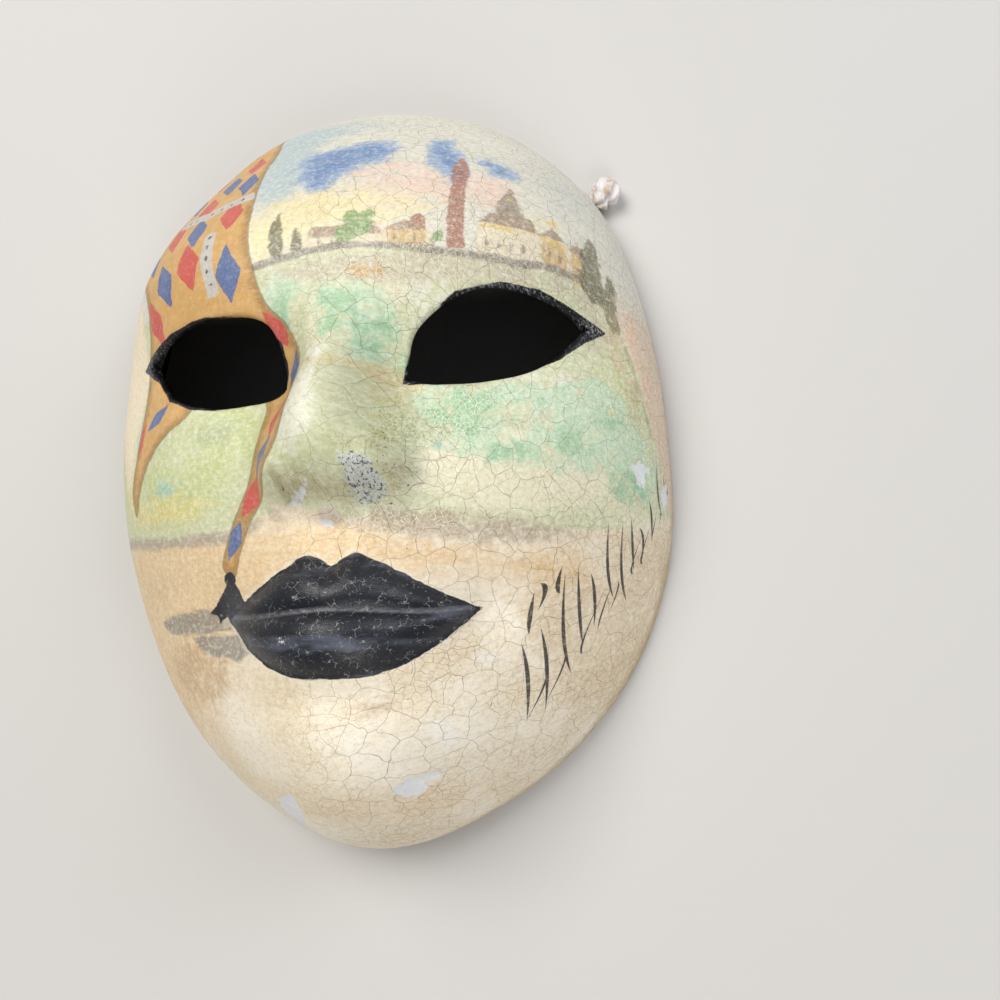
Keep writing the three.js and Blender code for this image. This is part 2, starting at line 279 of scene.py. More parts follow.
def knot_rings(count=56, around=112):
    """Along the axis a = -cos(t), the radius is sin(t)^0.75 * (1 + 0.15 * fold * (0.4 + 0.6 sin(t)))
    times a waist, 1 - 0.34 exp(-((a + 0.42) / 0.16)^2). The fold is a cosine of seven times the
    angle, sharpened and twisted along the axis, plus 0.35 of one of three times the angle."""
    t = np.linspace(0.06, np.pi - 0.04, count)[:, None]
    angle = np.linspace(0, 2 * np.pi, around, endpoint=False)[None]
    axis = -np.cos(t) + 0 * angle
    fold = np.cos(KNOT_FOLDS * angle + 1.8 * axis + 0.6 * np.sin(2 * angle))
    fold = np.sign(fold) * np.abs(fold) ** 0.7 + 0.35 * np.cos(3 * angle - 2.5 * axis)
    waist = 1 - 0.34 * np.exp(-(((axis + 0.42) / 0.16) ** 2))
    radius = np.sin(t) ** 0.75 * (1 + 0.15 * fold * (0.4 + 0.6 * np.sin(t))) * waist
    reach = axis * (1 + 0.06 * np.cos(4 * angle))
    side, height = radius * np.cos(angle), radius * np.sin(angle)
    turn, lean = np.cos(KNOT_HEADING), np.sin(KNOT_HEADING)
    x = KNOT_RADIUS_MM * (reach * turn - side * lean * KNOT_SLIM)
    y = KNOT_RADIUS_MM * (reach * lean + side * turn * KNOT_SLIM)
    z = KNOT_HEIGHT_MM * height * KNOT_SLIM
    return np.stack([x, y, z], -1) + KNOT_PLACE_MM


knot = make_piece("satin_knot", *skin(knot_rings()), [satin])
knot.data.uv_layers.new(name="UVMap")

# %% Say which solids they stand for
for piece, solid in ((ribbon, "hanging_ribbon"), (knot, "ribbon_knot")):
    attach(piece, "root")
    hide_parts(solid)

# %% [markdown]
# ## The face as a height over a plane
#
# A mask that comes out of a press mould has no undercuts: seen from the front, each point of the
# plane has one height. So the face is a function of x and y, in millimetres, with the rim at zero.
# It is a sum of parts that a carver would name. A side wall turns up from the rim to a cap, a nose
# and two lips stand on the cap, and soft rises and hollows shape the rest.
#
# Sculpting by hand would do too, but here each measure stays a number with a name.

# %% Sizes of the shell
WALL = 2.6
RIM_ANGLE = [-90, -72, -50, -25, 0, 25, 50, 70, 90]
RIM_RADIUS = [106, 101, 93.5, 85, 79.5, 83.5, 96.5, 104.5, 106]
FLATNESS = 3.05
TURN_ANGLE = [-90, -45, 0, 45, 90]
TURN = [0.40, 0.565, 0.495, 0.50, 0.535]
MIDDLE_Y = [-100, -75, -50, -20, 10, 45, 80]
MIDDLE_Z = [57, 60.5, 53.5, 53.5, 55, 60.5, 50]
BOW_Y = [-100, 0, 100]
BOW = [0.008, 0.002, 0.003]

NOSE_Y = [-29, -25, -20, -14, -7, 1, 10, 22, 34]
NOSE_RISE = [0, 3.5, 10.5, 16.5, 18.5, 15.5, 9, 3, 0]
NOSE_HALF_Y = [-29, -16, -6, 3, 12, 34]
NOSE_HALF = [10, 12, 12.5, 10.5, 9.5, 13]
NOSE_ROUNDNESS = 2.3

MOUTH_HALF = 29.7
LIP_TOP_X = [0, 5.2, 10, 20, MOUTH_HALF]
LIP_TOP_Y = [-37.8, -35.4, -37.2, -42.6, -47.2]
MOUTH_X = [0, 8, 18, MOUTH_HALF]
MOUTH_Y = [-47.0, -47.3, -47.8, -47.2]
LIP_LOW_X = [0, 8, 16, 23, MOUTH_HALF]
LIP_LOW_Y = [-60.7, -60.3, -57.6, -53.0, -47.2]
UPPER_LIP = 3.2
LOWER_LIP = 4.6

# Each is: place across and along, reach across and along, and height
BUMPS = {"muzzle": (0, -50, 22, 28, 7), "chin": (0, -88, 20, 15, 7)}
FEATURES = {
    "nostril wing": (12, -17, 5, 6, 6.5),
    "nostril": (7, -24, 3.4, 3, -1.6),
    "inner socket": (17, 6, 11, 11, -5.5),
    "outer socket": (42, 14, 22, 12, -3),
    "temple": (64, 21, 14, 12, -3.5),
    "brow": (32, 39, 28, 9, 1.8),
    "cheek": (45, -13, 20, 16, 1.5),
    "mouth corner": (31.5, -47.5, 8, 8, -3),
    "philtrum": (0, -32.5, 3.2, 6, -1.5),
    "hollow under the lip": (0, -66, 20, 5.5, -3),
}
FEATURE_FADE = 0.22


# %% Curves through stations, and the rim
def smooth(stations, values, at, flat_ends=True):
    """A cubic from station to station, with np.gradient's slopes and none at flat ends."""
    k, f = np.asarray(stations, float), np.asarray(values, float)
    slope = np.gradient(f, k)
    if flat_ends:
        slope[0] = slope[-1] = 0
    x = np.clip(at, k[0], k[-1])
    i = np.clip(np.searchsorted(k, x) - 1, 0, len(k) - 2)
    step = k[i + 1] - k[i]
    t = (x - k[i]) / step
    ends = f[i] * (1 + 2 * t) * (1 - t) ** 2 + f[i + 1] * t * t * (3 - 2 * t)
    return ends + step * (slope[i] * t * (1 - t) ** 2 + slope[i + 1] * t * t * (t - 1))


def ease(share):
    """0 below 0, 1 above 1, and 3 s^2 - 2 s^3 between."""
    s = np.clip(share, 0, 1)
    return s * s * (3 - 2 * s)


def bell(x, y, at_x, at_y, wide, long, rise):
    """A soft rise, rise * exp(-((x - at_x) / wide)^2 - ((y - at_y) / long)^2)."""
    return rise * np.exp(-(((x - at_x) / wide) ** 2) - ((y - at_y) / long) ** 2)


def past(value, start, end):
    """0 before the start and 1 past the end, which may lie on either side of it."""
    return ease((value - start) / (end - start))


def elevation(x, y):
    return np.degrees(np.arctan2(y, np.abs(x)))


def rim_radius(x, y):
    return smooth(RIM_ANGLE, RIM_RADIUS, elevation(x, y))


print("rim, mm across and along:", 2 * rim_radius(1.0, 0.0), 2 * rim_radius(0.0, 1.0))


# %% Cap, nose and lips
def cap_height(x, y):
    """Height along the middle, less bow * x^2, plus the muzzle and the chin."""
    middle = smooth(MIDDLE_Y, MIDDLE_Z, y, False) - smooth(BOW_Y, BOW, y) * x * x
    return np.maximum(middle + sum(bell(x, y, *b) for b in BUMPS.values()), 1)


def nose_height(x, y):
    """Ridge height * exp(-|x / half width|^2.3)."""
    half = smooth(NOSE_HALF_Y, NOSE_HALF, y)
    return smooth(NOSE_Y, NOSE_RISE, y) * np.exp(-(np.abs(x / half) ** NOSE_ROUNDNESS))


def lip_edges(x):
    """Upper edge, mouth line and lower edge over x, the same on both sides."""
    out = np.abs(x)
    top = smooth(LIP_TOP_X, LIP_TOP_Y, out, False)
    return top, smooth(MOUTH_X, MOUTH_Y, out), smooth(LIP_LOW_X, LIP_LOW_Y, out, False)


def lip_height(x, y):
    """Each lip rises as sin(pi * (0.1 + 0.9 * share)^0.75 or 0.8) from the mouth line to its edge,
    and dies at the corners as (1 - (x / half)^2)^0.6."""
    top, line, low = lip_edges(x)
    fade = np.clip(1 - (x / MOUTH_HALF) ** 2, 0, 1) ** 0.6
    up = np.clip((y - line) / np.maximum(top - line, 0.5), 0, 1)
    down = np.clip((line - y) / np.maximum(line - low, 0.5), 0, 1)
    upper = UPPER_LIP * np.sin(np.pi * (0.1 + 0.9 * up) ** 0.75)
    lower = LOWER_LIP * np.sin(np.pi * (0.1 + 0.9 * down) ** 0.8)
    return fade * np.where(y >= line, upper, lower)


print("cap in the middle, mm:", round(float(cap_height(0.0, 0.0)), 1))

# %% [markdown]
# What the years did to the shell is relief too, but finer: a round lump under the nose, paper that
# dried a little uneven, and chips where paint and gesso came off. Those are in the next cells.

# %% The whole height, and the way out of the surface
LUMP = (0.0, -26.6, 2.5, 2.3, 0.9)
UNEVEN_MM = 0.12


def face_height(x, y):
    """cap * (1 - s^flatness)^turn, where s is the share of the way to the rim, plus the relief,
    which fades out near the rim."""
    share = np.clip(np.hypot(x, y) / rim_radius(x, y), 0, 1)
    turn = smooth(TURN_ANGLE, TURN, elevation(x, y))
    dome = cap_height(x, y) * np.maximum(1 - share**FLATNESS, 0) ** turn
    relief = nose_height(x, y) + lip_height(x, y) + bell(x, y, *LUMP)
    relief = relief + sum(bell(np.abs(x), y, *b) for b in FEATURES.values())
    uneven = np.sin(x / 7.3 + 1.1 * np.sin(y / 9.1)) * np.sin(y / 6.1 + 0.9 * np.sin(x / 11.7))
    return dome + (relief + UNEVEN_MM * uneven) * ease((1 - share) / FEATURE_FADE)


def outward(x, y):
    """Unit normal (-dz/dx, -dz/dy, 1) from central differences; at the rim it lies level."""
    step = 0.25
    share = np.hypot(x, y) / rim_radius(x, y)
    pull = np.minimum(1, 0.996 / np.maximum(share, 1e-6))
    px, py = x * pull, y * pull
    slope_x = (face_height(px + step, py) - face_height(px - step, py)) / (2 * step)
    slope_y = (face_height(px, py + step) - face_height(px, py - step)) / (2 * step)
    at_rim = (share > 0.9999)[..., None]
    normal = np.where(at_rim, np.stack([x, y, 0 * x], -1), np.stack([-slope_x, -slope_y, 1 + 0 * x], -1))
    return normal / np.linalg.norm(normal, axis=-1, keepdims=True)


tip = np.linspace(-20, 0, 81)
print("highest point, the nose, mm:", round(float(face_height(0 * tip, tip).max()), 1))

# %% [markdown]
# ## The painting, as outlines and soft patches
#
# On the real mask a coast is painted over the whole face: a sky with a town on the forehead, a shore
# line over the eyes, green water down to the nose, and sand below it. A draped lozenge cloth runs
# down one side. The lips and lids are black.
#
# Each paint gets a number per vertex: how deep inside its outline the vertex lies, in millimetres.
# The shader compares that number with a wobbling limit, so edges come out sharper than the mesh and
# look brushed. Soft patches are sums of bells instead. An image texture could hold all this, but it
# would need a layout of the face and would blur when seen close.

# %% How deep a point lies inside an outline
FAR_MM = 6.0


def depth_inside(outline, x, y):
    """Distance to the nearest edge, positive inside by the rule of odd crossings."""
    a = np.asarray(outline, float)
    edge = np.roll(a, -1, axis=0) - a
    to_x, to_y = x[:, None] - a[:, 0], y[:, None] - a[:, 1]
    t = np.clip((to_x * edge[:, 0] + to_y * edge[:, 1]) / (edge**2).sum(1), 0, 1)
    distance = np.hypot(to_x - t * edge[:, 0], to_y - t * edge[:, 1]).min(1)
    spans = (to_y >= 0) != (to_y - edge[:, 1] >= 0)
    rise = np.where(edge[:, 1] == 0, 1, edge[:, 1])
    crossings = (spans & (to_x < to_y * edge[:, 0] / rise)).sum(1)
    return np.where(crossings % 2 == 1, distance, -distance)


def depth_of(outlines, x, y):
    """The deepest of several outlines, and no less than -FAR_MM away from them."""
    deepest = np.full(x.shape, -FAR_MM)
    for outline in outlines:
        low, high = np.min(outline, axis=0) - FAR_MM, np.max(outline, axis=0) + FAR_MM
        near = (x > low[0]) & (x < high[0]) & (y > low[1]) & (y < high[1])
        deepest[near] = np.maximum(deepest[near], depth_inside(outline, x[near], y[near]))
    return deepest


def rounded(outline):
    """A closed outline made smooth with the Catmull-Rom curve."""
    p = np.asarray(outline, float)
    return follow(np.vstack([p[-1:], p, p[:2]]), 5)[5 : 5 + 5 * len(p)]


def turned(shape, x, y, degrees):
    """A shape turned about its own middle, then moved to x, y."""
    angle = np.radians(degrees)
    turn = np.array([[np.cos(angle), np.sin(angle)], [-np.sin(angle), np.cos(angle)]])
    return np.asarray(shape, float) @ turn + (x, y)


def lozenge(x, y, half_wide, half_long, degrees):
    return turned([(0, half_long), (half_wide, 0), (0, -half_long), (-half_wide, 0)], x, y, degrees)


def round_dot(x, y, radius):
    angle = np.linspace(0, 2 * np.pi, 10, endpoint=False)
    return np.stack([x + radius * np.cos(angle), y + radius * np.sin(angle)], -1)


# %% Shore line and horizon
SHORE_X = [-80, -18.1, -9.3, 0.2, 12, 23.2, 34.2, 43, 52.2, 61.6, 65.1, 80]
SHORE_Y = [30, 33.5, 34.7, 36.2, 35.5, 34, 32.9, 32.5, 33, 29.2, 22.8, 12]
HORIZON_X = [-80, -73.5, -51.5, -36, -26.6, -10, 0, 10.5, 20.8, 29.1, 39.8, 53.4, 68.5, 75.9, 80]
HORIZON_Y = [-24, -24.1, -27, -28, -28.3, -23.7, -26.4, -27.7, -28.8, -29.5, -29.7, -29.2, -27.5,
    -24.4, -23]


def over_line(stations, heights, x, y):
    """How far a point is above a line drawn over x."""
    return y - smooth(stations, heights, x, False)


print("shore line over the nose, mm:", round(float(smooth(SHORE_X, SHORE_Y, 0.0)), 1))

# %% [markdown]
# The lozenge cloth hangs down from the forehead and parts round the eye into two tails. Its
# lozenges are set one by one, as a painter sets them, in red and blue. Two white bands with black
# dots cross it, and it ends in a black tassel beside the mouth.

# %% Outlines of the cloth
CLOTH = [
    rounded([(-25.5, 92), (-24, 80), (-23, 66), (-21, 48.2), (-19.8, 37.3), (-17.1, 25.6), (-11.8, 19.3),
        (-8.2, 12.5), (-7, 5.9), (-6.2, -2.5), (-7.6, -9), (-10.5, -15), (-15.5, -20.5), (-20.6, -25.5),
        (-23.8, -32), (-26, -37.5), (-29.2, -35.5), (-27.4, -30.5), (-24, -24), (-20.2, -16.6),
        (-18.3, -7.3), (-18.4, 1.8), (-22, 8), (-30, 14), (-38.7, 2.6), (-46, -1.5), (-52, -6.5),
        (-57.5, -13), (-61.5, -19), (-62, -13), (-58.5, -5), (-57, 3), (-57.0, 10), (-57.4, 18.2),
        (-55.4, 26.3), (-54.6, 33), (-57.4, 40), (-66, 50), (-80, 60), (-70, 84), (-48, 100),
        (-26, 110)]),
]
RED_LOZENGES = [(-29.4, 76.5, 3.2, 6.2, 8), (-38.3, 59.0, 3.6, 6.6, 10), (-26.9, 50.6, 3.6, 6.8, 4),
    (-37.6, 37.8, 3.9, 7.2, 12), (-47.4, 52.0, 3.6, 7.0, 16), (-51.4, 28.4, 2.8, 7.4, 22),
    (-14.1, 18.7, 2.6, 5.6, 36), (-12.2, -4.2, 3.2, 6.0, -8), (-19.6, -20.6, 2.8, 6.0, -38),
    (-57.6, -1.8, 1.8, 6.2, -22), (-42.2, 76.4, 3.2, 6.2, 16), (-55.4, 61.6, 3.4, 6.8, 26),
    (-60.8, 47.4, 3.0, 6.4, 30), (-34.5, 89.5, 3.0, 5.6, 12), (-52.5, 80.5, 3.0, 5.8, 26)]
BLUE_LOZENGES = [(-34.0, 68.0, 3.4, 6.4, 10), (-26.8, 64.2, 3.2, 6.2, 6), (-46.0, 66.0, 3.2, 6.4, 16),
    (-37.4, 48.6, 3.4, 6.6, 8), (-46.4, 36.2, 3.4, 7.2, 20), (-25.6, 33.0, 3.7, 7.0, 2),
    (-9.4, 7.8, 2.2, 5.4, -6), (-14.6, -12.6, 3.4, 5.6, -28), (-25.2, -29.6, 2.2, 5.2, -26),
    (-50.6, 3.6, 2.0, 5.2, -54), (-58.3, 14.0, 1.8, 5.8, 2), (-49.8, 70.6, 3.2, 6.2, 22),
    (-55.4, 47.0, 2.8, 6.4, 24), (-41.8, 85.6, 3.0, 5.8, 16), (-63.4, 56.6, 3.0, 6.2, 34)]
BAND_MIDDLES = [[(-48.0, 57.6), (-36.4, 54.2), (-22.2, 56.6)], [(-31.2, 45.4), (-31.6, 36.6), (-30.0, 28.4)]]
BAND_HALF_MM = 1.7
DOT_STEP_MM = 3.1
TASSEL = [
    round_dot(-27.7, -38.2, 1.9),
    [(-29.2, -39.2), (-26.0, -39.2), (-23.8, -43.0), (-20.2, -46.6), (-23.2, -46.3), (-24.8, -48.2),
        (-26.8, -46.7), (-29.2, -48.6), (-31.0, -46.8), (-33.8, -48.0), (-34.4, -46.1), (-37.6, -46.0),
        (-33.0, -42.8)],
]


def band_outline(line):
    """A strip of even width on both sides of a line."""
    line = np.asarray(line, float)
    ahead = np.gradient(line, axis=0)
    side = np.stack([-ahead[:, 1], ahead[:, 0]], -1)
    side *= BAND_HALF_MM / np.linalg.norm(side, axis=1, keepdims=True)
    return np.vstack([line + side, (line - side)[::-1]])


def band_dots(line):
    """Dots at even steps along a line."""
    line = follow(line, 12)
    way = way_along(line)
    stops = np.arange(1.6, way[-1] - 1, DOT_STEP_MM)
    return [round_dot(np.interp(s, way, line[:, 0]), np.interp(s, way, line[:, 1]), 0.62) for s in stops]


DOTS = [dot for line in BAND_MIDDLES for dot in band_dots(line)]
print("lozenges:", len(RED_LOZENGES) + len(BLUE_LOZENGES), "dots:", len(DOTS))

# %% [markdown]
# The town is a row of simple blocks and trees on the shore line. None of it is a real place: a slim
# tower, a long hall with a roof, a domed house, low houses with gables, a bush and some cypresses.

# %% Outlines of the town
TOWN = {
    "far_wall": [[(-6, 35.2), (24, 34), (24, 38.6), (-6, 39.0)], [(33.4, 32), (58, 31), (57, 40),
        (33.6, 42)]],
    "red_tower": [[(26.9, 34), (31.0, 34), (30.9, 56), (31.3, 57.2), (31.3, 61), (29.2, 68.5),
        (27.0, 61.2), (27.0, 57.2), (27.4, 56)], [(18.8, 38), (22.4, 38), (22.4, 41.5), (20.6, 43.2),
        (18.8, 41.5)]],
    "brown_roof": [[(-5.5, 38.4), (-4, 41.2), (10.5, 41.0), (12.2, 38.0)], [(12.5, 38.2), (17.6, 41.2),
        (23.6, 38.0)], [(34.0, 41.0), (36.6, 44.8), (45.8, 44.4), (47.6, 40.4)], [(48.0, 40.4),
        (50.8, 44.2), (54.6, 40.0)], [(54.4, 38.8), (56.6, 41.6), (59.4, 37.4)]],
    "brown_hall": [rounded([(38.3, 44), (38.5, 49.5), (40.0, 52.6), (41.0, 55.6), (42.0, 52.6),
        (43.4, 49.4), (43.5, 44)])],
    "ochre_house": [[(48.0, 33), (54.0, 32.6), (53.6, 40.2), (48.4, 40.6)], [(55, 31), (58.4, 30.4),
        (58, 38), (55, 38.8)], [(13.4, 35.2), (22.6, 34.4), (22.4, 38.2), (13.6, 38.4)]],
    "bush": [round_dot(6.8, 40.0, 2.9), round_dot(3.6, 38.4, 2.4), round_dot(8.6, 43.4, 2.3),
        round_dot(5.4, 43.6, 2.1), round_dot(25.2, 36.4, 1.4)],
    "cypress": [rounded([(-13.5, 34), (-14.6, 39), (-12.8, 47), (-11.0, 39), (-11.6, 34)]),
        rounded([(-8.6, 34.5), (-9.4, 38), (-8.0, 43.5), (-6.6, 38), (-7.2, 34.5)]), rounded([(57.6, 29),
        (56.9, 36), (59.8, 45.5), (62.4, 37), (62.8, 28)]), rounded([(62.8, 24), (62.6, 31), (64.2, 36.5),
        (66.0, 30), (66.2, 22)])],
    "dark_mark": [[(a, b), (a + 0.9, b), (a + 0.9, b + 2.2), (a, b + 2.2)] for a, b in
        [(-3, 35.9), (0.4, 36.0), (15, 35.6), (19.6, 35.4), (35.6, 34.6), (38.2, 34.6), (40.8, 34.4),
            (43.4, 34.4), (49.4, 34.6), (51.8, 34.2), (56.2, 32.8), (39.8, 46), (41.6, 46)]]
        + [[(28.3, 58.4), (29.9, 58.4), (29.9, 60.4), (28.3, 60.4)]],
    "yellow_touch": [[(34.2, 39.9), (46.8, 39.3), (46.8, 40.3), (34.2, 40.9)], [(48.4, 39.2), (54, 38.8),
        (54, 39.8), (48.4, 40.2)], [(49.4, 45.2), (51.4, 46.2), (51.4, 45)], round_dot(41.0, 50.6, 0.8)],
}
print("town outlines:", {name: len(shapes) for name, shapes in TOWN.items()})

# %% Outlines of the clouds, the lids, the cloth's shadow, the pale strip at the side and the chips
CLOUDS = [
    rounded([(-11.8, 66.2), (-10.4, 71.6), (-6.0, 73.2), (1.6, 74.6), (9.1, 75.2), (12.3, 70.8),
        (8.9, 64.4), (2.8, 61.2), (-3.4, 54.2), (-8.4, 55.0)]),
    rounded([(20.4, 70.0), (21.0, 75.2), (24.6, 76.8), (27.6, 69.8), (30.6, 60.8), (29.4, 55.2),
        (25.9, 57.4), (22.6, 62.7)]),
    rounded([(33.4, 67.4), (40.0, 65.4), (42.6, 60.0), (36.4, 61.6)]),
]
LIDS = [
    [(14.5, 4.6), (15.2, 9), (16.4, 13), (20.6, 18.9), (28, 24.9), (37.8, 27.6), (47.2, 27.3), (54, 25.1),
        (63, 21.3), (57.1, 17.2), (50.9, 11.4), (41.6, 6.8), (30.9, 4.6), (20.6, 5.4)],
    [(-61.1, 20.2), (-55, 22.4), (-46, 24.2), (-34, 25.0), (-25.5, 23.6), (-18.1, 20.8), (-13.5, 15.9),
        (-12.3, 10), (-12.8, 4.3), (-23.2, 2.9), (-31.4, 1.9), (-38.5, 2.9), (-46.6, 7.3), (-52.9, 14.4)],
]
SHADOW = [
    rounded([(-58.4, -46.4), (-48.0, -45.0), (-39.6, -44.6), (-27.4, -45.0), (-21.6, -48.0),
        (-34.4, -50.0), (-43.0, -50.4), (-53.3, -49.5)]),
    rounded([(-42.6, -51.0), (-33.2, -50.4), (-20.9, -50.5), (-17.4, -52.6), (-21.6, -55.0),
        (-24.8, -57.2), (-29.4, -55.6), (-34.9, -56.0), (-40.4, -54.0)]),
]
SIDE_STRIP = [
    rounded([(64, 80), (65.4, 52), (64.4, 38), (64.6, 32), (66.2, 24), (69.2, 15), (71.2, 6.4),
        (72.9, -1.0), (74.4, -8.3), (75.8, -14.9), (76.6, -21), (82, -26), (92, 0), (90, 40), (84, 76)]),
]
CHIPS = [
    rounded([(-18.7, -88.0), (-13.2, -86.5), (-12.5, -90.7), (-15.4, -95.4), (-18.6, -99.4),
        (-19.9, -94.9), (-20.2, -90.4)]),
    rounded([(11.1, -84.8), (12.6, -83.8), (14.4, -82.8), (16.6, -82.6), (21.6, -81.8), (17.3, -84.4),
        (15.5, -87.0), (12.5, -87.2), (11.2, -86.1)]),
    rounded([(67.0, -12.9), (68.9, -11.3), (70.9, -11.9), (71.5, -13.6), (70.2, -14.6), (69.6, -17.6),
        (68.1, -16.4), (68.0, -14.6)]),
    rounded([(75.4, -16.6), (76.6, -15.2), (76.9, -18.6), (76.0, -21.8), (75.2, -20.2)]),
    rounded([(-9.8, -24.0), (-8.6, -22.9), (-6.8, -22.0), (-4.6, -20.9), (-2.6, -20.7), (-4.4, -22.3),
        (-6.6, -23.4)]),
    round_dot(-9.5, -52.9, 0.5), round_dot(22.8, -53.8, 0.45),
    rounded([(-2.5, -27.7), (-0.8, -27.2), (0.9, -27.7), (-0.2, -28.6), (-1.9, -28.7)]),
]
PITTED = [rounded([(6.2, -16.4), (9.0, -15.2), (11.0, -16.6), (12.4, -19.0), (12.7, -21.8), (11.0, -23.8),
    (8.0, -24.0), (5.8, -22.8), (5.6, -20.0)])]
CHIP_DEPTH_MM = 0.28
print("chips:", len(CHIPS), "clouds:", len(CLOUDS))

# %% [markdown]
# Chips are the one part of the painting that is real relief: the paint and the gesso are gone there,
# so the surface steps down by about a quarter of a millimetre. The rest of the picture is soft: each
# paint below is a sum of bells, and some of them tell where the surface is worn, cracked or shaded.

